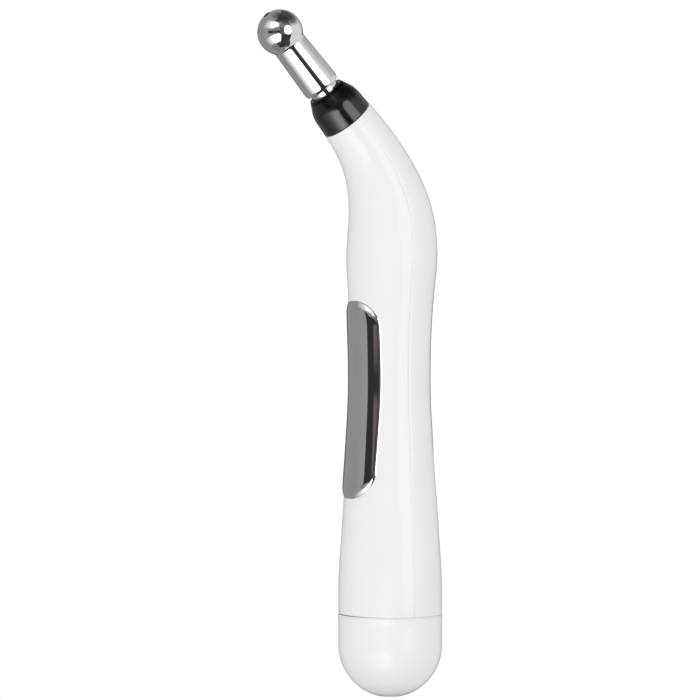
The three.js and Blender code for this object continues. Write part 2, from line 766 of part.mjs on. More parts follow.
// Buttons: a pad through the panel, a flange under the shell, and a raised sign
const flangeHalf = buttonSize / 2 + buttonFlange;
const flangeTop = Math.sqrt(innerWall(waistHeight) ** 2 - flangeHalf ** 2) - fitGap;
const flangeLow = flangeTop - buttonFlangeThickness;
const button = (height, upright) => {
  const outer = (proud) => gripSolid(
    -proud, height - buttonSize * 1.5, height + buttonSize * 1.5, skinSegments);
  const pad = outer(buttonProud).intersect(prism(buttonOutline(0), flangeLow, baseRadius, height));
  const flange = prism(buttonOutline(buttonFlange), flangeLow, flangeTop, height);
  const strokes = [[signSize / 2, signStroke / 2], [signStroke / 2, signSize / 2]].slice(0, upright ? 2 : 1);
  const sign = joined(...strokes.map(([halfY, halfZ]) => block(
    [flangeTop, -halfY, height - halfZ], [baseRadius * 2, halfY, height + halfZ])));
  return joined(pad, flange, sign.intersect(outer(buttonProud + signProud)));
};

const plungerTop = flangeLow - slipGap / 2;
const switchTop = plungerTop - buttonTravel - fitGap;
const switchBodyOf = (height) => cut(
  block(
    [boardFront + slipGap / 2, -switchSize / 2, height - switchSize / 2],
    [switchTop, switchSize / 2, height + switchSize / 2],
  ),
  crossRod(plungerRadius + slipGap, mix(boardFront, switchTop, 0.25), switchTop + cutOverrun, height),
);
const plunger = (height) => crossRod(
  plungerRadius, mix(boardFront, switchTop, 0.25) + buttonTravel + slipGap, plungerTop, height, 0, 16);

const onBoard = boardBack - slipGap / 2;
const transformerCore = () => {
  const [halfY, halfZ] = [transformerWidth / 2, transformerLength / 2];
  const across = (grow, inset) => block(
    [onBoard - transformerDepth - grow, inset - halfY, transformerHeight - halfZ + inset],
    [onBoard + grow, halfY - inset, transformerHeight + halfZ - inset],
  );
  return across(0, 0).subtract(across(cutOverrun, transformerLimb));
};
const transformerCoil = () => {
  const halfY = transformerWidth / 2 - transformerLimb - fitGap;
  const halfZ = transformerLength / 2 - transformerLimb - fitGap;
  const outline = roundedOutline(halfY, halfZ, halfY / 3);
  return prism(outline, onBoard - transformerDepth - coilProud, onBoard, transformerHeight);
};
const microcontroller = () => block(
  [onBoard - controllerThickness, -controllerSize / 2, controllerHeight - controllerSize / 2],
  [onBoard, controllerSize / 2, controllerHeight + controllerSize / 2],
);
const outputCapacitor = () => solid(
  new THREE.CylinderGeometry(capacitorRadius, capacitorRadius, capacitorLength, smallSegments)
    .translate(onBoard - capacitorRadius, 0, capacitorHeight));
const buzzer = () => crossRod(buzzerRadius, onBoard - buzzerThickness, onBoard, buzzerHeight, 0, 24);

// Contact plate with its studs and nuts

const nutSeat = (height) => fitGap - Math.sqrt(innerWall(height) ** 2 - nutRadius ** 2);
const contactPlate = () => {
  let plate = skin(plateOutline(0), plateHeight, plateLength / 2, plateSunk - slipGap, plateProud, -1);
  for (const height of studHeights) {
    plate = plate.add(crossRod(
      studRadius, -gripRadius(height), nutSeat(height) + studReach, height));
  }
  return plate;
};
const terminalFrom = nutSeat(studHeights[1]);
const plateNut = (height, stack) => cut(
  crossRod(nutRadius, nutSeat(height) + stack, nutSeat(height) + stack + nutHeight, height, 0, 6),
  crossRod(studRadius + slipGap, -baseRadius, 0, height, 0, 16),
);
const plateTerminal = () => cut(
  joined(
    crossRod(nutRadius, terminalFrom, terminalFrom + terminalThickness, studHeights[1]),
    block(
      [terminalFrom, -studRadius / 2, studHeights[1] - nutRadius - terminalTail],
      [terminalFrom + terminalThickness, studRadius / 2, studHeights[1] - nutRadius / 2],
    ),
  ),
  crossRod(studRadius + slipGap, -baseRadius, 0, studHeights[1], 0, 16),
);

// Nose: collar, socket, light and head, in the nose's own frame

const noseCollar = () => {
  const spigotLow = noseEnd - spigotDepth;
  const ribLow = noseEnd - spigotRibOffset;
  const rib = spigotRadius + ribDepth / 2;
  return cut(
    turned([
      [0, spigotLow], [spigotRadius, spigotLow], [spigotRadius, ribLow], [rib, ribLow],
      [rib, ribLow + ribWidth], [spigotRadius, ribLow + ribWidth], [spigotRadius, collarSeat],
      [collarRadius, collarSeat], [collarEdgeRadius, collarEdge], [collarTipRadius, collarTip],
      [0, collarTip],
    ], 40),
    rod(socketRadius + slipGap, spigotLow - cutOverrun, collarTip + cutOverrun, 28),
  );
};

const socketTop = collarTip + socketProud;
const headSocket = () => cut(
  turned([
    [0, socketLow], [socketFlangeRadius, socketLow], [socketFlangeRadius, socketLow + socketFlange],
    [socketRadius, socketLow + socketFlange], [socketRadius, socketTop], [0, socketTop],
  ], 28),
  rod(socketBore, socketLow - cutOverrun, socketTop + cutOverrun, 28),
);

const holderTop = socketLow + socketFlange * 2;
const ledHolder = () => cut(
  turned([
    [0, holderLow], [holderRadius, holderLow], [holderRadius, holderLow + holderFlange],
    [holderBoss, holderLow + holderFlange], [holderBoss, holderTop], [0, holderTop],
  ], 24),
  rod(ledRadius + slipGap, holderLow - cutOverrun, holderTop + cutOverrun, 20),
);

const ledLow = holderLow - slipGap - ledRimThickness;
const tipLed = () => turned([
  [0, ledLow], [ledRadius + ledRim, ledLow], [ledRadius + ledRim, ledLow + ledRimThickness],
  [ledRadius, ledLow + ledRimThickness], ...domePoints(ledRadius, ledLow + ledLength, 0, Math.PI / 2, 4),
], 18);

const plugTop = socketTop + fitGap;
const plugLow = plugTop - plugLength;
const ringHeightOnPlug = mix(plugLow, plugTop, ringShare);
const grooveHalf = ringSection + slipGap / 2;
const ringCentre = plugRadius - ringSection / 2;
const massageHead = () => {
  const joinHeight = ballCentre - Math.sqrt(ballRadius ** 2 - stemNeckRadius ** 2);
  const joinAngle = -Math.asin((ballCentre - joinHeight) / ballRadius);
  const foot = domePoints(stemRound, 0, -Math.PI / 2, 0, 4).map(([out, up]) => [
    stemFootRadius + (stemRadius - stemFootRadius) * out / stemRound, plugTop + stemRound + up,
  ]);
  const whole = turned([
    [0, plugLow], [plugRadius - slipGap, plugLow], [plugRadius, plugLow + slipGap],
    [plugRadius, plugTop], ...foot, ...domePoints(ballRadius, ballCentre, joinAngle, Math.PI / 2, 12),
  ], 32);
  const groove = cut(
    rod(plugRadius + cutOverrun, ringHeightOnPlug - grooveHalf, ringHeightOnPlug + grooveHalf),
    rod(ringCentre - ringSection - slipGap / 2, plugLow, plugTop),
  );
  return cut(whole, groove, rod(lightBore, plugLow - cutOverrun, ballCentre + ballRadius + cutOverrun, 14));
};

const headRing = () => solid(
  new THREE.TorusGeometry(ringCentre, ringSection, 6, 20).translate(0, 0, ringHeightOnPlug));

// Inner wires, each from its solder joint to its terminal

const noseLeadEnd = (side) => [0, side * ledRim * 2, ledLow - leadRadius * 2];
const neckPath = (fromAcross, endOnNose) => {
  const start = [boardBack - leadRadius * 3, fromAcross, boardTop - boardEdgeGap];
  const past = [0, fromAcross, shellPostTop + shellPostRadius];
  const bend = centreAt(mix(bendHeight, bendEnd, 0.35));
  const end = new THREE.Vector3(...endOnNose).applyMatrix4(noseMatrix);
  const before = new THREE.Vector3(endOnNose[0], endOnNose[1], endOnNose[2] - spigotDepth / 2)
    .applyMatrix4(noseMatrix);
  return [start, past, [bend.x, mix(fromAcross, endOnNose[1], 0.6), bend.z], before.toArray(), end.toArray()];
};
const electrodeLead = () => lead(neckPath(
  boardHalfWidth * 0.75, [0, holderRadius + leadRadius - fitGap * 2, holderLow - leadRadius - slipGap]));
const ledLead = (side) => lead(neckPath(boardHalfWidth * (side < 0 ? -0.75 : -0.5), noseLeadEnd(side)));

const plateLead = () => {
  const low = studHeights[1] - nutRadius - terminalTail - leadRadius;
  return lead([
    [terminalFrom + terminalThickness / 2, 0, low],
    [mix(terminalFrom, boardBack, 0.3), -boardHalfWidth * 0.5, low - terminalTail / 2],
    [boardBack - leadRadius - slipGap, -boardHalfWidth * 0.75, low - terminalTail],
  ]);
};
const positiveLead = () => lead([
  [0, -contactTailOffset, tubeTop + contactTailLength + leadRadius],
  [boardBack / 3, -boardHalfWidth * 0.7, boardLow],
  [boardBack - leadRadius - slipGap, -boardHalfWidth * 0.7, boardLow + boardPostRadius],
]);
const negativeLead = () => lead([
  [0, (stripInner + stripOuter) / 2 - leadRadius, stripTop + leadRadius + slipGap],
  [boardBack / 3, boardHalfWidth * 0.85, boardLow],
  [boardBack - leadRadius - slipGap, boardHalfWidth * 0.7, boardLow + boardPostRadius],
]);

// Assembly

const pen = new THREE.Group();
const standing = new THREE.Group();
standing.position.z = -gripHeight;
pen.add(standing);
const nose = new THREE.Group();
nose.position.set(noseStart.x, 0, noseStart.z);
nose.rotation.y = -neckLean;
standing.add(nose);

const place = (group, name, piece, material) => {
  const mesh = new THREE.Mesh(geometryOf(piece), material);
  mesh.name = name;
  group.add(mesh);
};

place(standing, 'front_shell', frontShell(), whitePlastic);
place(standing, 'rear_shell', rearShell(), whitePlastic);
place(standing, 'battery_cap', batteryCap(), whitePlastic);
place(standing, 'chassis', chassis(), greyPlastic);
place(standing, 'battery', battery(), cellBlue);
place(standing, 'positive_contact', positiveContact(), plainSteel);
place(standing, 'negative_strip', negativeStrip(), plainSteel);
place(standing, 'cap_contact', capContact(), plainSteel);
place(standing, 'cap_spring', capSpring(), plainSteel);
place(standing, 'shell_screw_lower', shellScrew(shellPostLow), plainSteel);
place(standing, 'shell_screw_upper', shellScrew(shellPostTop), plainSteel);
place(standing, 'circuit_board', circuitBoard(), boardGreen);
place(standing, 'board_screw_lower', boardScrew(boardPostLow), plainSteel);
place(standing, 'board_screw_upper', boardScrew(boardPostTop), plainSteel);
place(standing, 'transformer_core', transformerCore(), ferriteGrey);
place(standing, 'transformer_coil', transformerCoil(), copperWire);
place(standing, 'microcontroller', microcontroller(), blackPlastic);
place(standing, 'output_capacitor', outputCapacitor(), greyPlastic);
place(standing, 'buzzer', buzzer(), blackPlastic);
place(standing, 'lcd_panel', lcdPanel(), displayGlass);
place(standing, 'lcd_frame', lcdFrame(), greyPlastic);
place(standing, 'lcd_connector', lcdConnector(), softRubber);
place(standing, 'display_window', displayWindow(), clearPlastic);
place(standing, 'control_panel', controlPanel(), blackPlastic);
for (const [name, height, upright] of [['minus', minusHeight, false], ['plus', plusHeight, true]]) {
  place(standing, `${name}_button`, button(height, upright), whitePlastic);
  place(standing, `${name}_switch`, switchBodyOf(height), blackPlastic);
  place(standing, `${name}_plunger`, plunger(height), greyPlastic);
}
place(standing, 'contact_plate', contactPlate(), polishedMetal);
place(standing, 'plate_nut_lower', plateNut(studHeights[0], 0), brassMetal);
place(standing, 'plate_nut_upper', plateNut(studHeights[1], terminalThickness + slipGap), brassMetal);
place(standing, 'plate_terminal', plateTerminal(), brassMetal);
place(nose, 'nose_collar', noseCollar(), blackPlastic);
place(nose, 'head_socket', headSocket(), polishedMetal);
place(nose, 'led_holder', ledHolder(), blackPlastic);
place(nose, 'tip_led', tipLed(), ledRed);
place(nose, 'massage_head', massageHead(), polishedMetal);
place(nose, 'head_o_ring', headRing(), softRubber);
place(standing, 'electrode_lead', electrodeLead(), wireRed);
place(standing, 'led_lead_red', ledLead(1), wireRed);
place(standing, 'led_lead_black', ledLead(-1), wireBlack);
place(standing, 'plate_lead', plateLead(), wireBlack);
place(standing, 'battery_lead_positive', positiveLead(), wireRed);
place(standing, 'battery_lead_negative', negativeLead(), wireBlack);

export default pen;
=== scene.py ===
# Electric acupuncture pen: its finished surfaces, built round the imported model.
# Shapes are worked out in millimetres, with heights measured up from the cap's lowest point.
import math

import bmesh
import bpy
import numpy as np
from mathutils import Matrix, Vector
from mathutils.geometry import delaunay_2d_cdt


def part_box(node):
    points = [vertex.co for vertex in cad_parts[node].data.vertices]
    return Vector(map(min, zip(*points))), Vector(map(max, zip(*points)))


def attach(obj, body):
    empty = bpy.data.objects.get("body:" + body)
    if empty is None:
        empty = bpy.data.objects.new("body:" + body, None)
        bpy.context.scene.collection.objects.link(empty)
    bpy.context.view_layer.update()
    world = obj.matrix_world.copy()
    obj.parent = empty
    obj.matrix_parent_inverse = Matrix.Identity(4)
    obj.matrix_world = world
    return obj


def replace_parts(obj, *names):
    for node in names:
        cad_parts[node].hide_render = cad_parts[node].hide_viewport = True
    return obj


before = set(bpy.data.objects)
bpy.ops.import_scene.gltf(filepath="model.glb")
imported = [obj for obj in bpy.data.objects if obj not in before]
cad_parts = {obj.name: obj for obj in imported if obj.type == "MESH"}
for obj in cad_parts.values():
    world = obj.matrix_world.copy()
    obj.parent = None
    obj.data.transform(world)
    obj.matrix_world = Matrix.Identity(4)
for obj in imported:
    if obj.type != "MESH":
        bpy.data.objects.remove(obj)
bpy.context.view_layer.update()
scene = bpy.context.scene
scene.view_settings.view_transform = "Standard"

mm = 0.001
gripHeight = -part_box("battery_cap")[0].z / mm  # the model's origin is this far up
tau = 2 * math.pi
print("frame loaded:", len(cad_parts), "nodes")


# Small sums


def mix(low, high, share):
    return low + (high - low) * share


def ease(low, high, value):  # 0 at low, 1 at high, and smooth between them; low may be the larger
    share = np.clip((value - low) / (high - low), 0, 1)
    return share * share * (3 - 2 * share)


def arc(radius, middle, first, last, steps):  # [radius, height] points of a circle's arc, angles in degrees
    angle = np.radians(np.linspace(first, last, steps + 1))
    return np.stack([middle[0] + radius * np.cos(angle), middle[1] + radius * np.sin(angle)], axis=1)


def rounded(corners, steps=6):
    # straight lines through [x, y, rounding] corners: each rounding is an arc that touches both lines, with one
    # more point a little way along each line, which keeps the flats flat
    chain = []
    for index, (x, y, size) in enumerate(corners):
        here = np.array([x, y], float)
        if size == 0 or index in (0, len(corners) - 1):
            chain.append(here)
            continue
        back = np.array(corners[index - 1][:2], float) - here
        ahead = np.array(corners[index + 1][:2], float) - here
        backWay, aheadWay = back / np.hypot(*back), ahead / np.hypot(*ahead)
        half = math.acos(np.clip(backWay @ aheadWay, -1, 1)) / 2
        reach = size / math.tan(half)
        beyond = reach + size * 0.35
        middle = here + (backWay + aheadWay) / np.hypot(*(backWay + aheadWay)) * size / math.sin(half)
        start, end = here + backWay * reach - middle, here + aheadWay * reach - middle
        sweep = math.atan2(start[0] * end[1] - start[1] * end[0], start @ end)
        chain.append(here + backWay * beyond)
        for angle in np.linspace(0, 1, steps + 1) * sweep:
            chain.append(middle + [start[0] * math.cos(angle) - start[1] * math.sin(angle),
                                   start[0] * math.sin(angle) + start[1] * math.cos(angle)])
        chain.append(here + aheadWay * beyond)
    return np.array(chain)


# Meshes: a shape is (points, faces)


def placed(name, data):  # a new object in the scene
    made = bpy.data.objects.new(name, data)
    scene.collection.objects.link(made)
    return made


def fullTurn(count):  # evenly spaced angles once round
    return np.arange(count) / count * tau


def gridFaces(rows, columns, closed=False):  # four corners of each cell, turning outwards for (around, up)
    row, column = np.meshgrid(np.arange(rows - 1), np.arange(columns if closed else columns - 1), indexing="ij")
    after = (column + 1) % columns
    cell = np.stack([row * columns + column, row * columns + after,
                     (row + 1) * columns + after, (row + 1) * columns + column], axis=-1)
    return cell.reshape(-1, 4)


def thick(outer, inner, keep=True):
    # a wall between two grids of points, with the cells that keep leaves out cut right through
    rows, columns = outer.shape[:2]
    keep = np.broadcast_to(keep, (rows - 1, columns - 1))
    cells = gridFaces(rows, columns).reshape(rows - 1, columns - 1, 4)
    under = cells + rows * columns
    faces = [cells[keep], under[keep][:, ::-1]]
    padded = np.pad(keep, 1)
    sides = [(padded[:-2, 1:-1], 0, 1), (padded[1:-1, 2:], 1, 2), (padded[2:, 1:-1], 2, 3), (padded[1:-1, :-2], 3, 0)]
    for beside, first, last in sides:
        edge = keep & ~beside
        faces.append(np.stack([cells[edge][:, last], cells[edge][:, first],
                               under[edge][:, first], under[edge][:, last]], axis=1))
    return np.concatenate([outer.reshape(-1, 3), inner.reshape(-1, 3)]), np.concatenate(faces)


def piece(name, shape, body, finish, sharp=35):
    # one object from a shape in standing millimetres; equal points are merged, and edges that turn more
    # than the sharp angle stay crisp
    points, faces = shape
    used = np.zeros(len(points), bool)
    used[[corner for face in faces for corner in face]] = True
    number = (np.cumsum(used) - 1).tolist()
    places = (points[used] - [0, 0, gripHeight]) * mm
    mesh = bpy.data.meshes.new(name)
    mesh.from_pydata(places.tolist(), [], [[number[corner] for corner in face] for face in faces])
    joined = bmesh.new()
    joined.from_mesh(mesh)
    bmesh.ops.remove_doubles(joined, verts=joined.verts, dist=2e-7)
    joined.to_mesh(mesh)
    joined.free()
    mesh.shade_smooth()
    mesh.set_sharp_from_angle(angle=math.radians(sharp))
    made = placed(name, mesh)
    mesh.materials.append(finishes[finish])
    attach(made, body)
    return made


def skin(node, shape, body, finish, sharp=35):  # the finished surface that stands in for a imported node
    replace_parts(piece(node + "_skin", shape, body, finish, sharp), node)


def turned(profile, place=None, segments=96, closed=False):
    # [radius, height] points carried round the axis; place moves them from the piece's own axes
    profile = np.asarray(profile, float)
    if closed:
        profile = np.concatenate([profile, profile[:1]])
    around = fullTurn(segments)
    radius, height = profile.T[:, :, None]
    points = np.stack([radius * np.cos(around), radius * np.sin(around), height + 0 * around], axis=-1).reshape(-1, 3)
    faces = gridFaces(len(profile), segments, closed=True)
    return (place(points) if place else points), faces


def lying(height):  # a place for turned: the axis lies along X, at this height
    return lambda local: np.stack([local[:, 2], local[:, 1], height - local[:, 0]], axis=1)


def together(*shapes):  # several shapes in one
    points, faces, count = [], [], 0
    for shapePoints, shapeFaces in shapes:
        points.append(shapePoints)
        faces += [[corner + count for corner in face] for face in shapeFaces]
        count += len(shapePoints)
    return np.concatenate(points), faces


# The grip's own surface: a radius and a centreline, both by the distance along it

grip = {
    "base": 15.1, "taperFrom": 32, "waistAt": 91, "waist": 11.62, "shoulderAt": 128, "shoulder": 13.3,
    "bendAt": 133.4, "bendRadius": 47.6, "lean": math.radians(41.4), "noseEnd": 3.2, "nose": 7.95,
    "wall": 1.9, "swing": 0.6, "swingFrom": 103.95, "smooth": 2, "tableStep": 0.2,
}
bendAt, bendRadius, lean = grip["bendAt"], grip["bendRadius"], grip["lean"]
bendEnd = bendAt + bendRadius * lean
bodyLength = bendEnd + grip["noseEnd"]
# from one radius to the next: shares of the way along, and of the change in radius reached there
stretches = [
    (grip["taperFrom"], grip["base"], grip["waistAt"], grip["waist"],
     [(0, 0), (0.24, 0.22), (0.475, 0.5), (0.73, 0.8), (1, 1)]),
    (grip["waistAt"], grip["waist"], grip["shoulderAt"], grip["shoulder"], [(0.32, 0.11), (0.68, 0.49), (1, 1)]),
    (grip["shoulderAt"], grip["shoulder"], bodyLength, grip["nose"],
     [(0.14, 0.05), (0.33, 0.24), (0.55, 0.56), (0.75, 0.81), (1, 1)]),
]
knots = np.array([(0, grip["base"])] + [
    (mix(low, top, along), mix(first, last, change))
    for low, first, top, last, shares in stretches for along, change in shares])
rise = np.diff(knots[:, 1]) / np.diff(knots[:, 0])
between = np.where(rise[:-1] * rise[1:] > 0, (rise[:-1] + rise[1:]) / 2, 0)
slopes = np.concatenate([rise[:1], between, rise[-1:]])
alongTable = np.arange(-20, 200, grip["tableStep"])


def smoothCurve(along):  # a cubic through the knots, with the mean of the neighbouring slopes at each
    spot = np.clip(np.searchsorted(knots[:, 0], along) - 1, 0, len(knots) - 2)
    span = knots[spot + 1, 0] - knots[spot, 0]
    t = np.clip((along - knots[spot, 0]) / span, 0, 1)
    return ((2 * t**3 - 3 * t**2 + 1) * knots[spot, 1] + (t**3 - 2 * t**2 + t) * span * slopes[spot]
            + (3 * t**2 - 2 * t**3) * knots[spot + 1, 1] + (t**3 - t**2) * span * slopes[spot + 1])


def softened(values):  # a running mean with a bell-shaped weight, so that no reflection shows a kink
    end = 6 * grip["smooth"]
    reach = np.arange(-end, end + grip["tableStep"] / 2, grip["tableStep"])
    weight = np.exp(-0.5 * (reach / grip["smooth"]) ** 2)
    line = np.pad(values, len(reach) // 2, mode="reflect", reflect_type="odd")
    return np.convolve(line, weight / weight.sum(), mode="valid")


turnTable = np.clip((alongTable - bendAt) / bendRadius, 0, lean)
straight = alongTable - turnTable * bendRadius - np.minimum(alongTable, bendAt)
swingShare = np.clip((alongTable - grip["swingFrom"]) / (bendEnd - grip["swingFrom"]), 0, 1)
swingTable = softened(grip["swing"] * np.sin(math.pi * swingShare) ** 2)
xTable = softened(-bendRadius * (1 - np.cos(turnTable)) - straight * np.sin(turnTable))
zTable = softened(np.minimum(alongTable, bendAt) + bendRadius * np.sin(turnTable) + straight * np.cos(turnTable))
leanTable = np.arctan2(-np.gradient(xTable), np.gradient(zTable))
xTable = xTable + swingTable
endRise = (alongTable - bodyLength) * slopes[-1]
radiusTable = softened(np.where(alongTable > bodyLength, grip["nose"] + endRise, smoothCurve(alongTable)))


def gripRadius(along):
    return np.interp(along, alongTable, radiusTable)


def gripCentre(along):
    return np.interp(along, alongTable, xTable)


def onGrip(psi, along, out):
    # a ring about the centreline, square to it: the radius there plus out, at the angle psi from +X towards +Y
    radius, turn = gripRadius(along) + out, np.interp(along, alongTable, leanTable)
    across = radius * np.cos(psi)
    return np.stack([gripCentre(along) + across * np.cos(turn), radius * np.sin(psi),
                     np.interp(along, alongTable, zTable) + across * np.sin(turn)], axis=-1)


def overGrip(y, z, out, side):  # a point of the grip's surface pushed out, seen straight along X
    return np.stack([gripCentre(z) + side * np.sqrt((gripRadius(z) + out) ** 2 - y * y), y, z], axis=-1)


noseX = -bendRadius * (1 - math.cos(lean))
noseZ = bendAt + bendRadius * math.sin(lean)


def onNose(points):  # from the nose's own axes, zero where the bend ends, to standing millimetres
    cos, sin = math.cos(lean), math.sin(lean)
    x, y, z = points.T
    return np.stack([noseX + x * cos - z * sin, y, noseZ + x * sin + z * cos], axis=1)


# Shader sums


class Wire:
    # an output of a shader node; sums of wires and numbers add Math nodes
    def __init__(self, tree, node=None, output=0):
        self.tree, self.node, self.output = tree, node, output

    def add(self, kind, sockets=None, output=0, **settings):
        # any other node: its kind, the numbers or wires of its sockets, the output to use, and its settings
        node = self.tree.nodes.new("ShaderNode" + kind)
        for name, value in settings.items():
            setattr(node, name, value)
        for name, value in (sockets or {}).items():
            if isinstance(value, Wire):
                self.tree.links.new(value.node.outputs[value.output], node.inputs[name])
            elif isinstance(value, tuple) and len(value) == 3 and node.inputs[name].type == "RGBA":
                node.inputs[name].default_value = (*value, 1)
            else:
                node.inputs[name].default_value = value
        return Wire(self.tree, node, output)

    def out(self, output):
        return Wire(self.tree, self.node, output)

    def maths(self, operation, *values):
        return self.add("Math", dict(enumerate(values)), operation=operation)

    def __add__(self, other):
        return self.maths("ADD", self, other)

    def __sub__(self, other):
        return self.maths("SUBTRACT", self, other)

    def __rsub__(self, other):
        return self.maths("SUBTRACT", other, self)

    def __mul__(self, other):
        return self.maths("MULTIPLY", self, other)

    __radd__, __rmul__ = __add__, __mul__

    def step(self, low, high):  # 0 up to low, 1 from high, smooth between; low may be the larger
        sockets = {"Value": self, "From Min": low, "From Max": high}
        if low > high:
            sockets.update({"From Min": high, "From Max": low, "To Min": 1.0, "To Max": 0.0})
        return self.add("MapRange", sockets, interpolation_type="SMOOTHSTEP")

    def band(self, low, high, soft, softHigh=None):  # 1 between low and high
        return self.step(low - soft, low + soft) * self.step(high + (softHigh or soft), high - (softHigh or soft))

    def blend(self, factor, under, over):  # a colour between two, by a factor
        return self.add("Mix", {0: factor, 6: under, 7: over}, 2, data_type="RGBA")


def startNodes(owner):  # the emptied node tree of a material or the world
    owner.use_nodes = True
    owner.node_tree.nodes.clear()
    return Wire(owner.node_tree)


def startMaterial(name):
    material = bpy.data.materials.new(name)
    wire = startNodes(material)
    return material, wire, wire.add("TexCoord", output="Object")


def endMaterial(wire, sockets, kind="BsdfPrincipled"):
    wire.add("OutputMaterial", {"Surface": wire.add(kind, sockets)})


def grain(wire, place, size, detail, stretchBy=(1, 1, 1)):  # noise whose features are size millimetres across
    place = wire.add("Mapping", {"Vector": place, "Scale": stretchBy})
    return wire.add("TexNoise", {"Vector": place, "Scale": 1 / (size * mm), "Detail": detail})


def bump(wire, height, distance):  # distance in millimetres
    return wire.add("Bump", {"Height": height, "Distance": distance * mm})


# Camera, light and studio

view = {"azimuth": -26.5, "distance": 900, "aside": -11.72, "height": 14.63, "lens": 158.78, "sensor": 36}
viewTurn = math.radians(view["azimuth"])
rightWay = np.array([math.cos(viewTurn), math.sin(viewTurn), 0])
awayWay = np.array([-math.sin(viewTurn), math.cos(viewTurn), 0])


def makeCamera():
    camera = placed("camera", bpy.data.cameras.new("camera"))
    camera.data.lens, camera.data.sensor_width = view["lens"], view["sensor"]
    camera.location = (rightWay * view["aside"] - awayWay * view["distance"] + [0, 0, view["height"]]) * mm
    camera.rotation_euler = (math.pi / 2, 0, viewTurn)
    camera.data.clip_start = 0.01
    scene.camera = camera


light = {
    "fill": 0.75, "background": 1.04, "floorRadius": 0.6, "floorShade": 0.9, "seeThrough": 0.94, "tentRadius": 1.6,
    # azimuth and elevation seen from the camera in degrees, distance, size and power of each lamp
    "lamps": [("key", -2, 12, 1.2, 0.8, 2.47), ("upper", -35, 45, 1.2, 0.8, 0.6), ("low", -10, -30, 1.2, 0.6, 1.05)],
}


def makeLamps():
    for name, aside, up, distance, size, power in light["lamps"]:
        lamp = bpy.data.lights.new("lamp_" + name, "AREA")
        lamp.shape, lamp.size, lamp.energy = "DISK", size, power
        made = placed("lamp_" + name, lamp)
        turn, lift = math.radians(view["azimuth"] + aside), math.radians(up)
        way = np.array([math.sin(turn) * math.cos(lift), -math.cos(turn) * math.cos(lift), math.sin(lift)])
        made.location = way * distance
        made.rotation_euler = Vector(way).to_track_quat("Z", "Y").to_euler()
        made.visible_glossy = made.visible_camera = False


def rayIs(wire, first, *others):  # 1 for a ray of one of these kinds, else 0
    path = wire.add("LightPath")
    seen = path.out(f"Is {first} Ray")
    for kind in others:
        seen = wire.maths("MAXIMUM", seen, path.out(f"Is {kind} Ray"))
    return seen


def makeWorld():
    # the fill for diffuse light, and a plain white for what the camera sees straight, mirrored or through glass
    scene.world = bpy.data.worlds.new("studio")
    wire = startNodes(scene.world)
    seen = rayIs(wire, "Camera", "Glossy", "Transmission")
    shade = wire.blend(seen, (light["fill"],) * 3, (light["background"],) * 3)
    wire.add("OutputWorld", {"Surface": wire.add("Background", {"Color": shade, "Strength": 1.0})})


def studioObject(name, places, faces):
    mesh = bpy.data.meshes.new(name)
    mesh.from_pydata(places.tolist(), [], faces)
    made = placed(name, mesh)
    material, wire, place = startMaterial(name)
    mesh.materials.append(material)
    return made, wire, place


def makeFloor():
    # a matt disc at the cap's lowest point, which the camera hardly sees, so a pulled cap still shows below it
    segments = 64
    around = fullTurn(segments)
    places = np.stack([np.cos(around), np.sin(around), 0 * around], axis=1) * light["floorRadius"]
    places[:, 2] = -gripHeight * mm
    floor, wire, _ = studioObject("floor", places, [list(range(segments))])
    matt = wire.add("BsdfDiffuse", {"Color": (light["floorShade"],) * 3})
    clear = wire.add("BsdfTransparent", {"Color": (1, 1, 1)})
    share = rayIs(wire, "Camera", "Transmission") * light["seeThrough"]
    endMaterial(wire, {0: share, 1: matt, 2: clear}, "MixShader")
    floor.visible_glossy = floor.visible_shadow = False


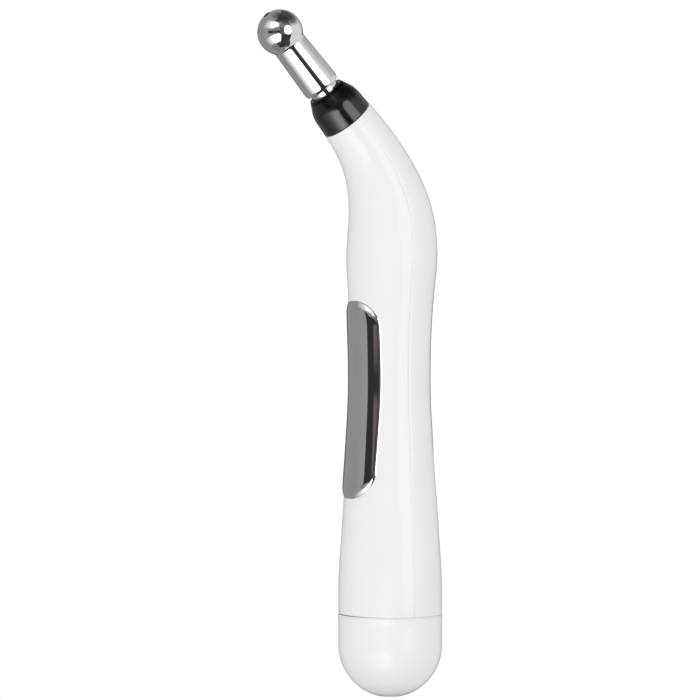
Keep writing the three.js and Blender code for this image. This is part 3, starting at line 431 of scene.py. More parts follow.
def makeTent():
    # a sphere far round the pen that only reflections see: what hangs in a product photographer's tent
    rows, columns = 49, 96
    lift = np.linspace(-math.pi / 2, math.pi / 2, rows)[:, None]
    around = fullTurn(columns)[None, :]
    places = np.stack([np.cos(lift) * np.cos(around), np.cos(lift) * np.sin(around),
                       np.sin(lift) + 0 * around], axis=-1).reshape(-1, 3) * light["tentRadius"]
    tent, wire, place = studioObject("tent", places, gridFaces(rows, columns, closed=True).tolist())
    tent.data.shade_smooth()
    place = wire.add("Mapping", {"Vector": place, "Rotation": (0, 0, -viewTurn)})
    split = wire.add("SeparateXYZ", {0: wire.add("VectorMath", {0: place}, operation="NORMALIZE")})
    x, y, z = map(split.out, range(3))
    aside = wire.maths("ARCTAN2", x, 0 - y) * (360 / tau)
    up = wire.maths("ARCSINE", z) * (360 / tau)
    shade = (0.39, 0.39, 0.39)

    def paint(mask, level):
        nonlocal shade
        shade = wire.blend(mask, shade, (level,) * 3 if isinstance(level, float) else level)

    # each line lays one patch over what is there: its limits in degrees aside of the camera and up, and its level
    paint(aside.step(-100, -75) * up.step(-70, -50), 0.43)
    paint(aside.step(-48, -36), 0.3)
    paint(aside.step(8, 20) * up.step(32, 48), 0.1)
    paint(aside.step(60, 63), 1.0)  # the bright right side
    paint(aside.step(120, 160), 0.45)
    paint(aside.step(60, 66) * up.step(25, 45), 0.2)
    paint(up.step(58, 70), 0.22)  # overhead
    paint(up.step(72, 82), 0.1)
    paint(aside.band(-32, 200, 8) * up.step(46, 56), 0.09)
    paint(aside.band(-22, 78, 6) * up.step(52, 63), 0.05)
    paint(up.step(-55, -62), 0.3)  # underneath
    paint(aside.band(-30, 75, 8) * up.step(-53, -61), 0.045)
    paint(aside.band(8, 61, 1.2) * up.step(-8, -12) * up.step(-68, -60), 0.05)  # the dark gap at the right
    paint(aside.step(40, 50) * (aside + up * 2).step(0, -14) * up.step(-30, -36) * up.step(-70, -58), 0.07)
    paint(aside.band(-61, 9, 1.2, 2) * up.band(-4.6, 7.2, 1.5), 0.042)  # the dark camera side, with a pinkish patch
    patch = up.band(-3.8, -1.5, 1.0) + up.band(2.2, 6.6, 1.2)
    paint(aside.band(-37, -15, 2, 5) * patch, (0.21, 0.155, 0.16))
    fading = aside.step(-56, -42) + 1.3  # the upper reflector, then the lower one, both fading to the left
    high = (up - aside.step(-38, -20) * 6).step(13, 25) * (up + aside.step(-42, 0) * 5).step(53, 44)
    low = (up - aside * 0.2 + aside.step(-8, 8) * 9).step(-4, -12) * (up - aside.step(-35, 8) * 10).step(-60, -48)
    paint(aside.band(-75, -4, 29, 2) * high, fading - aside.step(-24, -8) * 1.0)
    paint(aside.band(-75, 4, 29, 2.5) * low, fading + aside.step(-44, -14) * 3.2)
    paint(aside.band(-2, 19, 1.2) * up.band(-10, 23, 2.5), 0.14)
    far = (aside - 41) * (aside - 41) + (up - 11) * (up - 11)
    paint(far.step(21.6 ** 2, 19.2 ** 2), 4.0)  # the round lamp
    paint(y.step(0.8, 0.985), 0.14)  # right behind the pen
    endMaterial(wire, {"Color": shade, "Strength": 1.0}, "Emission")
    for way in ("camera", "diffuse", "transmission", "volume_scatter", "shadow"):
        setattr(tent, "visible_" + way, False)


makeCamera()
makeLamps()
makeWorld()
makeFloor()
makeTent()
print("camera and studio set")


# Materials


def mouldedPlastic(name, colour, other, roughness, size, depth, coat=0.0, level=0.5):
    # moulded plastic: a soft drift between two near colours, a fine skin and a slight change of gloss
    material, wire, place = startMaterial(name)
    drift = grain(wire, place, 14, 2).step(0.35, 0.65)
    fine = grain(wire, place, size, 3)
    endMaterial(wire, {
        "Base Color": wire.blend(drift, colour, other),
        "Roughness": roughness + (fine - 0.5) * roughness * 0.5,
        "Normal": bump(wire, fine, depth),
        "Coat Weight": coat, "Coat Roughness": 0.05, "Specular IOR Level": level,
    })
    return material


def polishedMetal(name, colour, roughness, size, depth):
    # plated or bare metal: faint polishing marks in gloss and height, and a slight cloudiness
    material, wire, place = startMaterial(name)
    cloud = grain(wire, place, 9, 3).step(0.3, 0.7)
    marks = grain(wire, place, size, 4)
    dim = tuple(channel * 0.955 for channel in colour)
    endMaterial(wire, {
        "Base Color": wire.blend(cloud, colour, dim), "Metallic": 1.0,
        "Roughness": roughness + (marks - 0.4) * roughness * 0.6 + cloud * roughness * 0.15,
        "Normal": bump(wire, marks, depth),
    })
    return material


def smokedWindow():
    # dark clear acrylic: half see-through, with a hardly visible haze in its gloss
    material, wire, place = startMaterial("smoked_acrylic")
    haze = grain(wire, place, 1.6, 3)
    endMaterial(wire, {
        "Base Color": wire.blend(haze, (0.010, 0.011, 0.013), (0.014, 0.015, 0.017)), "Alpha": 0.3,
        "Roughness": 0.05 + haze * 0.03, "Normal": bump(wire, haze, 0.0004),
    })
    return material


def cellJacket():
    # a printed metallic sleeve: blue, then a thin pale line and a copper-coloured end, with a fine brushed grain
    material, wire, place = startMaterial("cell_jacket")
    height = wire.add("SeparateXYZ", {0: place}, 2) * (1 / mm) + gripHeight
    marks = grain(wire, place, 0.5, 3, (1, 1, 0.04))
    colour = wire.blend(marks, (0.02, 0.075, 0.30), (0.03, 0.10, 0.37))
    colour = wire.blend(height.step(48.9, 49.1), colour, (0.75, 0.75, 0.74))
    colour = wire.blend(height.step(50.1, 50.3), colour, (0.62, 0.33, 0.16))
    endMaterial(wire, {"Base Color": colour, "Metallic": 0.7, "Roughness": 0.26 + marks * 0.12,
                       "Normal": bump(wire, marks, 0.001)})
    return material


# a name, two near colours, roughness, the size and depth of the skin in millimetres, coat, specular level
plastics = {
    "shell": ("white_abs", (0.915, 0.90, 0.885), (0.907, 0.89, 0.875), 0.17, 0.9, 0.0006, 0.0, 0.185),
    "gloss": ("gloss_black", (0.0022, 0.0022, 0.0026), (0.0035, 0.0035, 0.004), 0.17, 1.1, 0.0005, 0.0, 0.48),
    "dark": ("satin_black", (0.022, 0.022, 0.024), (0.03, 0.03, 0.032), 0.38, 0.22, 0.008),
    "grey": ("grey_nylon", (0.07, 0.072, 0.078), (0.085, 0.087, 0.093), 0.45, 0.2, 0.012),
    "rubber": ("rubber", (0.02, 0.02, 0.021), (0.03, 0.03, 0.031), 0.62, 0.15, 0.02),
    "ferrite": ("ferrite", (0.035, 0.033, 0.034), (0.055, 0.052, 0.05), 0.66, 0.12, 0.03),
    "board": ("board_green", (0.012, 0.10, 0.045), (0.016, 0.13, 0.058), 0.34, 0.6, 0.01),
    "redWire": ("red_sleeve", (0.36, 0.022, 0.018), (0.42, 0.03, 0.022), 0.5, 0.25, 0.01),
    "blackWire": ("black_sleeve", (0.015, 0.015, 0.016), (0.024, 0.024, 0.025), 0.5, 0.25, 0.01),
    "display": ("display_glass", (0.36, 0.42, 0.33), (0.38, 0.44, 0.35), 0.2, 2, 0.0004),
    "ink": ("display_segments", (0.02, 0.024, 0.022), (0.03, 0.034, 0.03), 0.3, 1, 0.0004),
    "led": ("red_epoxy", (0.52, 0.02, 0.015), (0.6, 0.03, 0.02), 0.12, 2, 0.0005, 0.6),
}
metals = {
    "chrome": ("chrome_plate", (0.65, 0.65, 0.655), 0.035, 0.5, 0.0002),
    "steel": ("plain_steel", (0.56, 0.57, 0.58), 0.3, 0.08, 0.002),
    "brass": ("brass", (0.66, 0.47, 0.2), 0.28, 0.1, 0.002),
    "copper": ("copper", (0.62, 0.27, 0.13), 0.33, 0.12, 0.003),
}
finishes = {
    **{key: mouldedPlastic(*settings) for key, settings in plastics.items()},
    **{key: polishedMetal(*settings) for key, settings in metals.items()},
    "window": smokedWindow(), "cell": cellJacket(),
}
print("materials mixed")


# Rounded outlines, (half width, half length, corner radius), and the edges along them


def grown(form, size):
    return tuple(length + size for length in form)


def inside(y, z, width, half, corner):  # how far a point is inside a rounded outline; less than 0 outside
    outY, outZ = np.abs(y) - (width - corner), np.abs(z) - (half - corner)
    return corner - np.hypot(np.maximum(outY, 0), np.maximum(outZ, 0)) - np.minimum(np.maximum(outY, outZ), 0)


def edgeDrop(distance, size):  # how far a rounded edge of this radius falls below the face near the edge
    near = np.clip(size - distance, 0, size)
    return size - np.sqrt(size * size - near * near)


def edgeSteps(size):  # distances from an edge that draw its rounding evenly
    return size * (1 - np.cos(np.radians(np.linspace(0, 90, 6))))


# The two shells and the battery cap

shell = {
    "low": 23.77, "edge": 0.14, "lowIn": 0.05, "lowReach": 2.5, "top": 0.15, "gap": 0.02, "seamEdge": 0.015,
    "columns": 64, "meanRadius": 13, "noseBore": 6.35, "openingRoom": 0.4, "bedEdge": (0.35, 1.3),
    "grooveAt": 27.7, "groove": (1.0, 0.75), "grooveDepth": 0.95,
    "seamLift": 0.3, "seamSide": math.radians(153.5), "seamReach": 3,
}
plate = {
    "height": 86.2, "outline": (9.1, 28.65, 7.5), "proud": 0.7, "sunk": 0.08, "bed": 0.8,
    # the rim's width, its fall and the power of its curve, each along the sides and at the ends
    "rim": (2.9, 1.76), "fall": (0.3, 0.57), "power": (1.5, 1.35),
    # each end starts at a bowed line: how far from the tip, its bow, and the way over which the rim changes
    "endReach": 2.9, "endBow": 1.5, "endChange": (-1.1, 0.7),
    "back": 0.07, "backDrop": 0.7, "studs": (79, 104.15), "studRadius": 1.2, "studEnd": -5.6, "studSink": 0.6,
}
panel = {"height": 100.3, "outline": (5, 33, 5), "proud": 0.15, "rim": 0.16, "lip": 0.1, "bed": 1.0,
         "back": 0.05, "backDrop": 0.85}
backEdge = (0.4, 1.35)  # over this way in from its outline the back of the plate or the panel drops into its bed
window = {"height": 112.8, "outline": (4.1, 7.2, 1), "room": 0.1, "face": 11.2598, "thick": 1, "edge": 0.2}
button = {"outline": (3.3, 3.3, 2.2), "room": 0.14, "proud": 0.3, "edge": 0.35, "dish": 0.14, "dishEdge": (2.9, 0.6)}
buttonHeights = {"minus": 86.2, "plus": 97.2}
openings = [(window["height"], window)] + [(height, button) for height in buttonHeights.values()]


def shellGrid(side):
    # (psi, along) grids of the outer and inner wall: the grip's radius less its edges' roundings and the
    # shallow bed under the plate or the panel; the inner wall stands one wall's thickness inside
    middle, form = (math.pi, plate) if side < 0 else (0, panel)
    low, top = shell["low"], bodyLength
    fine = edgeSteps(shell["seamEdge"]) / shell["meanRadius"]
    reach = math.pi / 2 - shell["gap"] / shell["meanRadius"]
    psi = np.linspace(-reach + fine[-1], reach - fine[-1], shell["columns"])
    psi = middle + np.concatenate([-reach + fine[:-1], psi, (reach - fine[:-1])[::-1]])
    lowEdge, topEdge = edgeSteps(shell["edge"]), edgeSteps(shell["top"])
    body = np.linspace(low + lowEdge[-1] + 0.2, top - topEdge[-1] - 0.1, int(top - low) * 4 // 3)
    along = np.concatenate([low + lowEdge, body, top - topEdge[::-1]])
    psi, along = np.meshgrid(psi, along)
    radius = gripRadius(along)
    across = radius * np.sin(psi)
    toParting = radius * (math.pi / 2 - np.abs(psi - middle)) - shell["gap"]
    drop = (edgeDrop(toParting, shell["seamEdge"]) + edgeDrop(along - low, shell["edge"])
            + edgeDrop(top - along, shell["top"]) + shell["lowIn"] * ease(low + shell["lowReach"], low, along)
            + form["bed"] * ease(*shell["bedEdge"], inside(across, along - form["height"], *form["outline"])))
    # the nose's round bore takes over where the grip narrows, and the cap's ring needs a groove
    inset = np.minimum(grip["wall"] + np.zeros_like(along), radius - shell["noseBore"])
    inset = inset - shell["grooveDepth"] * ease(*shell["groove"], np.abs(along - shell["grooveAt"]))
    # the seam above the cap opens a little on one side
    lift = shell["seamLift"] * np.maximum(np.cos(psi - shell["seamSide"]), 0) ** 2
    along = along + lift * ease(low + shell["seamReach"], low, along)
    keep = True
    if side > 0:
        cellY, cellZ = ((table[1:, 1:] + table[:-1, :-1]) / 2 for table in (across, along))
        for height, opening in openings:
            width, half, _ = grown(opening["outline"], shell["openingRoom"])
            keep = keep & ~((np.abs(cellY) < width) & (np.abs(cellZ - height) < half))
    return thick(onGrip(psi, along, -drop), onGrip(psi, along, -inset), keep)


posts = {
    "bore": 1.02, "soft": 0.12, "sink": 0.4,
    # side, meeting face, radius and heights: the shells' screw posts, then the board's in the rear shell
    "rows": [(-1, 0.9, 2.6, (71.3, 129.3)), (1, 1.2, 2.6, (71.3, 129.3)), (1, 4.6, 2.0, (78.1, 123.1))],
}


def shellPosts(side):
    # tubes along X with softened rims, from their meeting face into the wall
    bore, soft = posts["bore"], posts["soft"]
    tubes = []
    for rowSide, face, radius, heights in posts["rows"]:
        for height in heights if rowSide == side else ():
            wall = float(gripCentre(height) + side * (gripRadius(height) - grip["wall"] + posts["sink"]))
            low, high = sorted((face, wall))
            profile = [(bore, low, 0), (radius, low, soft), (radius, high, soft), (bore, high, 0), (bore, low, 0)]
            tubes.append(turned(rounded(profile, 3), lying(height), 32))
    return tubes


def makeShells():
    for name, side in (("front_shell", -1), ("rear_shell", 1)):
        skin(name, together(shellGrid(side), *shellPosts(side)), "grip", "shell")


cap = {"top": 23.75, "edge": 0.3, "over": 0.16, "overReach": 2.4, "flat": 3.85, "wall": 1.9, "wallLow": 19.2,
       "seat": 6, "seatRadius": 6.5, "seatLow": 2.4, "groove": (16.9, 17.2, 18.6, 18.9), "grooveDepth": 0.4}


def makeCap():
    # a dome with a small flat, a wall that widens a little to its top, and inside a groove and the spring's seat
    radius, inner, seat = grip["base"], grip["base"] - cap["wall"], cap["seatRadius"]
    top, edge, rise = cap["top"], cap["edge"], math.sqrt(radius**2 - cap["flat"] ** 2)
    dome = arc(radius, (0, rise), -math.degrees(math.asin(rise / radius)), 0, 56)
    height = np.linspace(rise, top - edge, 14)
    over = cap["over"] * ease(top - cap["overReach"], top, height)
    wall = np.stack([radius + over, height], axis=1)
    rim = radius + cap["over"]
    top = rounded([(rim, top - edge, 0), (rim, top, edge - 0.01), (inner, top, 0.25), (inner, cap["wallLow"], 0)], 6)
    first, low, high, last = cap["groove"]
    deep = inner + cap["grooveDepth"]
    groove = rounded([(inner, last, 0), (deep, high, 0.15), (deep, low, 0.15), (inner, first, 0)], 3)
    innerDome = arc(inner, (0, rise), -math.degrees(math.asin((rise - cap["wall"]) / inner)), 0, 24)
    innerDome = innerDome[innerDome[:, 0] > seat + 0.15][::-1]
    seatEdge = rounded([(0, cap["seat"], 0), (seat, cap["seat"], 0.3), (seat, cap["seatLow"], 0)], 4)[::-1]
    outer = np.concatenate([[(0, 0)], dome, wall[1:], top, groove, innerDome, seatEdge])
    skin("battery_cap", turned(outer, segments=144), "cap", "shell")


makeShells()
makeCap()
print("shells and cap built")


# The contact plate


def outlineGrid(width, half, corner, rows, columns):
    # a grid over a rounded outline: rows crowded towards its ends, columns towards its sides
    z = half * -np.cos(np.linspace(0, math.pi, rows))
    reach = np.where(np.abs(z) > half - corner,
                     width - corner + np.sqrt(np.maximum(corner**2 - (np.abs(z) - half + corner) ** 2, 0)), width)
    share = -np.cos(np.linspace(0, math.pi, columns))
    return reach[:, None] * share[None, :], z[:, None] + 0 * share[None, :]


def makePlate():
    # a skin over the grip: full height within, then a rim that falls towards the outline, steeper past a bowed
    # line near each end, and last a round edge that takes up what the rim leaves; its back lies in the bed
    width, half, _ = plate["outline"]
    y, z = outlineGrid(*plate["outline"], 240, 80)
    within = inside(y, z, *plate["outline"])
    line = half - plate["endReach"] - plate["endBow"] * (y / width) ** 2
    share = ease(*plate["endChange"], np.abs(z) - line)
    rim, fall, power = (mix(*plate[name], share) for name in ("rim", "fall", "power"))
    near = np.clip(1 - within / rim, 0, 1)
    edge = plate["proud"] + plate["sunk"] - fall
    out = plate["proud"] - fall * near ** power - edgeDrop(within, edge)
    back = -plate["backDrop"] * ease(*backEdge, within) - plate["back"]
    outer, inner = (overGrip(y, z + plate["height"], depth, -1)[:, ::-1] for depth in (out, back))
    radius, end = plate["studRadius"], plate["studEnd"]
    studs = []
    for height in plate["studs"]:
        start = -float(gripRadius(height)) + plate["studSink"]
        studs.append(turned(rounded([(0, start, 0), (radius, start, 0), (radius, end, 0.15), (0, end, 0)], 3),
                            lying(height), 32))
    skin("contact_plate", together(thick(outer, inner), *studs), "grip", "chrome")


makePlate()
print("contact plate built")


# Nose: collar, socket and massage head

collar = {"bore": 4.4, "spigot": 6, "low": -5.8, "ring": 6.45, "ringLow": -3.1, "ringTop": -1.7,
          "seat": 3.35, "radius": 7.88, "edge": 9.55, "edgeRadius": 7.55, "tip": 13.9, "tipRadius": 5.35}
socket = {"bore": 3, "radius": 4.25, "low": -7.3, "top": 15.31, "flange": 5.5, "flangeTop": -6.1}


def makeCollar():  # a spigot with a ring round it below, and a cone with a soft shoulder above
    bore, spigot, low, ring, ringLow, ringTop, seat, radius, edge, edgeRadius, tip, tipRadius = collar.values()
    profile = rounded([
        (bore, low, 0), (spigot, low, 0.2), (spigot, ringLow, 0), (ring, ringLow, 0.1), (ring, ringTop, 0.1),
        (spigot, ringTop, 0), (spigot, seat, 0), (radius, seat, 0.18), (edgeRadius, edge, 8.5),
        (tipRadius, tip, 1.0), (bore, tip - 0.05, 0.12), (bore, low, 0),
    ], 9)
    skin("nose_collar", turned(profile, onNose, 128), "grip", "gloss")


def makeSocket():  # a tube with a flange at its lower end
    bore, radius, low, top, flange, flangeTop = socket.values()
    profile = rounded([(bore, low, 0), (flange, low, 0.2), (flange, flangeTop, 0.2), (radius, flangeTop, 0),
                       (radius, top, 0.1), (bore, top, 0.1), (bore, low, 0)], 5)
    skin("head_socket", turned(profile, onNose, 96), "grip", "chrome")


head = {
    "plug": 2.6, "low": 2.15, "groove": 1.92, "grooveLow": 7.6, "grooveTop": 8.58,
    "foot": 15.34, "footRadius": 4.85, "footRise": 1.2, "footAngle": 62, "stem": 5.5, "neck": 5.02,
    "ball": 6.55, "centre": 35.65, "fillet": 1.3, "bore": 1.0, "lip": 0.1,
    # the lining in the bore is a satin-black tube, painted shade for the hole; then the o-ring
    "shadeLinerLow": 3, "shadeLinerOut": 0.12, "ring": 0.42, "ringCentre": (2.39, 8.09),
}


def makeHead():
    # plug, groove, rounded foot, a stem that narrows to the ball, a hollow fillet whose circle touches stem
    # and ball, the ball, and a bore right through
    wide, deep, low, neck, fillet, bore, lip = (
        head[name] for name in ("plug", "groove", "low", "neck", "fillet", "bore", "lip"))
    join = head["centre"] - math.sqrt((head["ball"] + fillet) ** 2 - (neck + fillet) ** 2)
    joinAngle = -math.degrees(math.acos((neck + fillet) / (head["ball"] + fillet)))
    hollow = arc(fillet, (neck + fillet, join), 180, 180 + joinAngle, 10)
    tipAngle = math.degrees(math.acos((bore + lip) / head["ball"]))
    ball = arc(head["ball"], (0, head["centre"]), joinAngle, tipAngle, 72)
    foot = arc(1, (0, 0), -head["footAngle"], 0, 12) / (1, math.sin(math.radians(head["footAngle"])))
    foot = np.stack([mix(head["footRadius"], head["stem"], foot[:, 0]),
                     head["foot"] + head["footRise"] * (1 + foot[:, 1])], axis=1)
    stem = np.linspace((head["stem"], foot[-1, 1]), (neck, join), 30)[1:]
    plug = rounded([(bore, low, 0), (wide, low, 0.25), (wide, head["grooveLow"], 0.06),
                    (deep, head["grooveLow"], 0.06), (deep, head["grooveTop"], 0.06),
                    (wide, head["grooveTop"], 0.06), (wide, head["foot"], 0)], 4)
    rim = arc(lip, (bore + lip, ball[-1, 1] - lip), 90, 180, 5)
    profile = np.concatenate([plug, foot, stem[:-1], hollow[:-1], ball, rim[1:], [(bore, 30), (bore, low)]])
    skin("massage_head", turned(profile, onNose, 144), "head", "chrome", sharp=28)
    top = ball[-1, 1] + head["shadeLinerOut"]  # a dark lining stands a little out of the bore: painted shade that makes the hole look black
    outer, inner = bore - 0.02, bore - 0.12
    sleeve = [(outer, head["shadeLinerLow"]), (outer, top), (inner, top), (inner, head["shadeLinerLow"])]
    piece("head_bore_painted_shade", turned(sleeve, onNose, 48, closed=True), "head", "dark")
    ring = arc(head["ring"], head["ringCentre"], 0, 360, 24)[:-1]
    skin("head_o_ring", turned(ring, onNose, 72, closed=True), "head", "rubber")


makeCollar()
makeSocket()
makeHead()
print("nose and massage head built")


# The control panel, the buttons and the display, on the side away from the plate


def outline(width, half, corner, spacing=0.8, steps=12):
    # the corners' arcs in turn, with points along the straight sides between them
    chain = []
    for number, (side, end) in enumerate([(1, 1), (-1, 1), (-1, -1), (1, -1)]):
        angle = (number + np.linspace(0, 1, steps + 1)) * math.pi / 2
        chain.append(np.stack([side * (width - corner) + corner * np.cos(angle),
                               end * (half - corner) + corner * np.sin(angle)], axis=1))
    whole = []
    for turn, after in zip(chain, chain[1:] + chain[:1]):
        length = np.hypot(*(after[0] - turn[-1]))
        share = np.linspace(0, 1, int(length / spacing) + 2)[1:-1, None]
        whole += [turn, mix(turn[-1], after[0], share)]
    whole = np.concatenate(whole)
    moved = np.hypot(*(whole - np.roll(whole, 1, axis=0)).T) > 1e-6
    return whole[moved]


noSpots = np.zeros((1, 2))  # one spot in the middle, for a net that needs none


def net(chains, spots, kept):
    # triangles over closed chains of points and loose spots; kept tells which middles stay
    flat = np.concatenate([*chains, spots])
    starts = np.cumsum([0] + [len(chain) for chain in chains])
    lines = np.concatenate([
        np.stack([start + np.arange(len(chain)), start + np.roll(np.arange(len(chain)), -1)], axis=1)
        for start, chain in zip(starts, chains)])
    places, _, triangles, *_ = delaunay_2d_cdt(flat.tolist(), lines.tolist(), [], 0, 1e-7)
    places, triangles = np.array(places), np.array(triangles)
    middle = places[triangles].mean(axis=1)
    return *places.T, triangles[kept(middle[:, 0], middle[:, 1])]


def slab(triangles, top, back):
    # a closed plate: the net on top, its copy turned round at the back, and a wall along each open edge
    count = len(top)
    sides = np.concatenate([triangles[:, [0, 1]], triangles[:, [1, 2]], triangles[:, [2, 0]]])
    loose = sides[~np.isin(sides[:, 0] * count + sides[:, 1], sides[:, 1] * count + sides[:, 0])]
    walls = np.stack([loose[:, 0], loose[:, 0] + count, loose[:, 1] + count, loose[:, 1]], axis=1)
    return np.concatenate([top, back]), [*triangles, *(triangles[:, ::-1] + count), *walls]


def netOver(form, edge=0, spacing=0.8, spots=noSpots):  # over one outline, with rings for its rounded edge
    rings = [outline(*grown(form, -step), spacing) for step in (edgeSteps(edge) if edge else [0])]
    return net(rings, spots, lambda y, z: inside(y, z, *form) > -0.02)


def flatSlab(flat, height, top, low):  # a net at this height, between two distances along X
    y, z, triangles = flat
    return slab(triangles, *(np.stack([0 * y + x, y, z + height], axis=1) for x in (top, low)))


def spotsOver(form, *apart):  # evenly over an outline's box, so far apart across and along
    y, z = np.meshgrid(*(np.linspace(-reach, reach, int(2 * reach / step) + 1) for reach, step in zip(form, apart)))
    return np.stack([y.ravel(), z.ravel()], axis=1)


marks = {"face": 8.548, "rise": 0.03, "digit": 1.3, "tall": 2.4, "stroke": 0.28, "apart": 1.1, "digitsUp": 2.6,
         "joint": 0.1, "bars": 5, "barStep": 1.1, "barHalf": 0.4, "barRise": 0.25, "firstBar": (-2.2, -3.6, 0.5)}
skirt = {"outer": (4.34, 7.44, 1.2), "inner": (4.12, 7.22, 1), "top": 10.7, "over": 0.05}


def makePanel():
    # full height within, rounded down to the outline and to each opening; its back lies in the shell's bed
    rim, lip = panel["rim"], panel["lip"]
    holes = [(height - panel["height"], grown(opening["outline"], opening["room"])) for height, opening in openings]

    def toEdges(y, z):
        cut = np.min([-inside(y, z - up, *form) for up, form in holes], axis=0)
        return inside(y, z, *panel["outline"]), cut

    def kept(y, z):
        within, cut = toEdges(y, z)
        return (within > -0.02) & (cut > -0.012)

    chains = [outline(*grown(panel["outline"], -step)) for step in edgeSteps(rim)[::2]]
    chains += [outline(*grown(form, step)) + [0, up] for up, form in holes for step in edgeSteps(lip)[::2]]
    spots = spotsOver(panel["outline"], 0.5, 1.0)
    within, cut = toEdges(*spots.T)
    y, z, triangles = net(chains, spots[(within > rim + 0.15) & (cut > lip + 0.15)], kept)
    within, cut = toEdges(y, z)
    out = panel["proud"] - edgeDrop(within, rim) - edgeDrop(cut, lip)
    back = -panel["backDrop"] * ease(*backEdge, within) - panel["back"]
    cover = slab(triangles, *(overGrip(y, z + panel["height"], depth, 1) for depth in (out, back)))

    # a dark skirt from the window's opening down to the display
    flat = net([outline(*skirt["outer"]), outline(*skirt["inner"])], noSpots,
               lambda y, z: (inside(y, z, *skirt["inner"]) < 0.012) & (inside(y, z, *skirt["outer"]) > -0.02))
    wall = flatSlab(flat, window["height"], skirt["top"], marks["face"] + skirt["over"])
    skin("control_panel", together(cover, wall), "grip", "gloss")


flange = {"reach": 0.9, "low": 7.766, "top": 8.466, "overlap": 0.2}
sign = {"half": 1.6, "stroke": 0.35, "out": 0.5, "spacing": 0.125}


def makeButton(name, upright):
    # a pad with rounded edges and a shallow dish for the finger, on a flat flange under the shell
    height, form, edge = buttonHeights[name], button["outline"], button["edge"]
    spots = spotsOver(form, 0.3, 0.3)
    y, z, triangles = netOver(form, edge, 0.4, spots[inside(*spots.T, *form) > edge + 0.12])
    dish = button["dish"] * ease(*button["dishEdge"], np.hypot(y, z))
    out = button["proud"] - edgeDrop(inside(y, z, *form), edge) - dish
    back = np.stack([0 * y + flange["top"] - flange["overlap"], y, z + height], axis=1)
    pad = slab(triangles, overGrip(y, z + height, out, 1), back)
    foot = flatSlab(netOver(grown(form, flange["reach"])), height, flange["top"], flange["low"])
    skin(name + "_button", together(pad, foot), name + "_key", "shell")

    # the sign is raised from the pad and follows the grip: one bar, or two that cross
    long, thin = sign["half"], sign["stroke"]
    corners = [(long, -thin), (long, thin), (-long, thin), (-long, -thin)]
    if upright:
        corners = [(long, -thin), (long, thin), (thin, thin)]
        for _ in range(9):  # each further corner is one of these, a quarter turn on
            corners.append((-corners[-3][1], corners[-3][0]))
    corners = np.array(corners)
    chain = np.concatenate([mix(start, end, np.arange(0, 1, sign["spacing"])[:, None])
                            for start, end in zip(corners, np.roll(corners, -1, axis=0))])

    def kept(y, z):
        bars = (np.abs(y) < long) & (np.abs(z) < thin)
        return bars | ((np.abs(z) < long) & (np.abs(y) < thin)) if upright else bars

    y, z, triangles = net([chain], noSpots, kept)
    shape = slab(triangles, *(overGrip(y, z + height, out + 0 * y, 1) for out in (sign["out"], 0)))
    piece(name + "_sign", shape, name + "_key", "dark")


def makeWindow():
    # a flat smoked plate with a rounded edge all round its face
    form, face, edge = window["outline"], window["face"], window["edge"]
    flat = netOver(form, edge)
    top = face - edgeDrop(inside(*flat[:2], *form), edge)
    skin("display_window", flatSlab(flat, window["height"], top, face - window["thick"]), "grip", "window")


def makeMarks():
    # a number of seven-segment digits and a row of rising bars, as thin slabs on the display's face
    half, tall, stroke = marks["digit"] / 2, marks["tall"] / 2, marks["stroke"] / 2
    segments = {name: (0, up * tall, half, stroke) for name, up in (("top", 1), ("middle", 0), ("low", -1))}
    for name, side, up in (("upLeft", -1, 1), ("upRight", 1, 1), ("lowLeft", -1, -1), ("lowRight", 1, -1)):
        segments[name] = (side * half, up * tall / 2, stroke, tall / 2 - marks["joint"])
    zero = ["top", "low", "upLeft", "upRight", "lowLeft", "lowRight"]
    five = ["top", "middle", "low", "upLeft", "lowRight"]
    bars = [(y + segments[part][0], marks["digitsUp"] + segments[part][1], *segments[part][2:])
            for y, digit in ((-marks["apart"], zero), (marks["apart"], five)) for part in digit]
    y, z, high = marks["firstBar"]
    bars += [(y + step * marks["barStep"], z + step * marks["barRise"], marks["barHalf"],
              high + step * marks["barRise"]) for step in range(marks["bars"])]
    box = np.array([(out, *corner) for out in (1, 0) for corner in ((-1, -1), (1, -1), (1, 1), (-1, 1))])
    sides = [(0, 1, 2, 3), (7, 6, 5, 4), (4, 5, 1, 0), (5, 6, 2, 1), (6, 7, 3, 2), (7, 4, 0, 3)]
    slabs = [(box * [marks["rise"], wide, high] + [marks["face"], y, window["height"] + z], sides)
             for y, z, wide, high in bars]
    piece("display_segments", together(*slabs), "grip", "ink")


makePanel()
makeButton("minus", upright=False)
makeButton("plus", upright=True)
makeWindow()
makeMarks()
print("panel, buttons and display built")


# Battery, its spring and the light in the tip

cell = {"radius": 7.25, "low": 13.6, "top": 63.1, "nub": 2.75, "nubTop": 64.2, "sleeve": 6.2, "core": 6.25}


def makeCell():  # a printed sleeve round a steel can whose ends show
    radius, low, top, nub, nubTop, sleeve, core = cell.values()
    jacket = rounded([(sleeve, low + 0.05, 0), (radius, low + 0.05, 0.55), (radius, top - 0.05, 0.55),
                      (sleeve, top - 0.05, 0), (sleeve, top - 0.3, 0), (sleeve, low + 0.3, 0),
                      (sleeve, low + 0.05, 0)], 6)
    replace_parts(piece("battery_jacket", turned(jacket), "cell", "cell"), "battery")
    can = rounded([(0, low, 0), (core - 0.35, low, 0.2), (core, low + 0.35, 0.2), (core, top - 0.35, 0.2),
                   (core - 0.65, top - 0.1, 0.2), (nub + 0.5, top - 0.1, 0.2), (nub, top + 0.1, 0.2),
                   (nub, nubTop, 0.35), (0, nubTop, 0)], 5)
    piece("battery_ends", turned(can, segments=72), "cell", "steel")


spring = {"low": 7.2, "top": 13.05, "radius": 4, "wire": 0.4, "turns": 4, "steps": 48, "around": 16,
          "gather": 1 / 12, "pitch": 0.04}


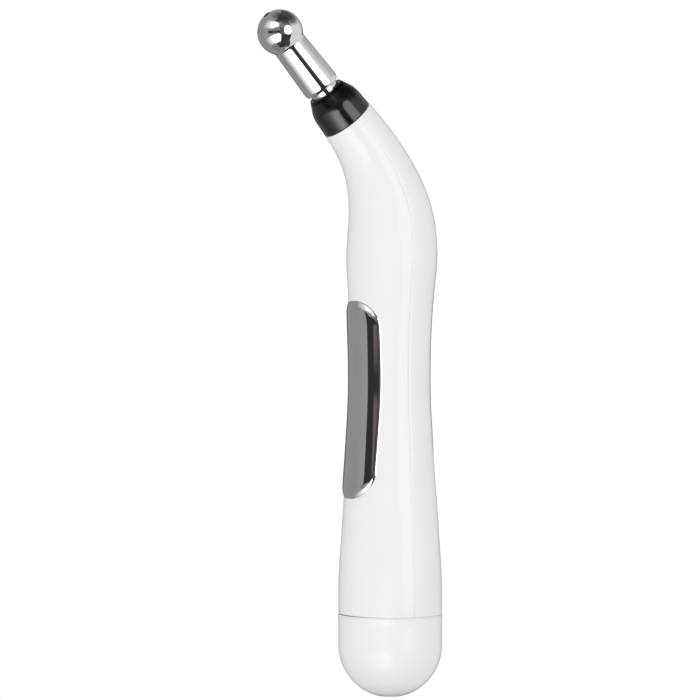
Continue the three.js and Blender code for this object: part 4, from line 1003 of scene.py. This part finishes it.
def makeSpring():
    # a circle carried along a helix whose end turns lie closer together; both ends are domed
    steps = spring["turns"] * spring["steps"]
    dome = np.radians(np.linspace(90, 0, 5)[:-1])
    share = np.concatenate([np.zeros(len(dome)), np.linspace(0, 1, steps + 1), np.ones(len(dome))])
    radius = spring["wire"] * np.concatenate([np.cos(dome), np.ones(steps + 1), np.cos(dome)[::-1]])
    shift = spring["wire"] * np.concatenate([-np.sin(dome), np.zeros(steps + 1), np.sin(dome)[::-1]])
    turn = share * spring["turns"] * tau
    height = mix(spring["low"], spring["top"], share - spring["gather"] * np.sin(share * tau))
    out = np.stack([np.cos(turn), np.sin(turn), 0 * turn], axis=1)
    ahead = np.stack([-np.sin(turn), np.cos(turn), 0 * turn + spring["pitch"]], axis=1)
    ahead /= np.linalg.norm(ahead, axis=1)[:, None]
    side = np.cross(ahead, out)
    centre = out * spring["radius"] + ahead * shift[:, None] + np.stack([0 * turn, 0 * turn, height], axis=1)
    angle = fullTurn(spring["around"])[None, :, None]
    ring = out[:, None] * np.cos(angle) + side[:, None] * np.sin(angle)
    points = (centre[:, None] + radius[:, None, None] * ring).reshape(-1, 3)
    faces = gridFaces(len(turn), spring["around"], closed=True)[:, ::-1]
    skin("cap_spring", (points, faces), "cap", "steel")


led = {"radius": 1.5, "low": -9.75, "rim": 1.9, "rimTop": -8.95, "barrelTop": -5, "domeFrom": -4.75}


def makeLed():  # a rim, a short barrel and a dome
    radius, low, rim, rimTop, barrelTop, domeFrom = led.values()
    base = rounded([(0, low, 0), (rim, low, 0.1), (rim, rimTop, 0.1), (radius, rimTop, 0), (radius, barrelTop, 0)], 3)
    profile = np.concatenate([base, arc(radius, (0, domeFrom), 0, 90, 16)])
    skin("tip_led", turned(profile, onNose, 48), "grip", "led")


makeCell()
makeSpring()
makeLed()
print("battery, spring and tip light built")


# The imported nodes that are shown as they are

carried = {
    "steel": "shell_screw_lower shell_screw_upper board_screw_lower board_screw_upper positive_contact"
             " negative_strip cap_contact",
    "brass": "plate_nut_lower plate_nut_upper plate_terminal",
    "board": "circuit_board",
    "ferrite": "transformer_core",
    "copper": "transformer_coil",
    "dark": "microcontroller output_capacitor buzzer minus_switch plus_switch",
    "grey": "lcd_frame led_holder chassis minus_plunger plus_plunger",
    "rubber": "lcd_connector",
    "display": "lcd_panel",
    "redWire": "led_lead_red battery_lead_positive",
    "blackWire": "led_lead_black battery_lead_negative electrode_lead plate_lead",
}


def dressNodes():
    # equal points are joined and edges over 30 degrees kept crisp, by modifiers, so the mesh stays as packed
    for finish, names in carried.items():
        for name in names.split():
            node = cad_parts[name]
            node.data.materials.clear()
            node.data.materials.append(finishes[finish])
            for polygon in node.data.polygons:
                polygon.use_smooth = True
            node.modifiers.new("weld", "WELD").merge_threshold = 1e-6
            node.modifiers.new("crisp", "EDGE_SPLIT").split_angle = math.radians(30)


dressNodes()
print("packed nodes dressed")
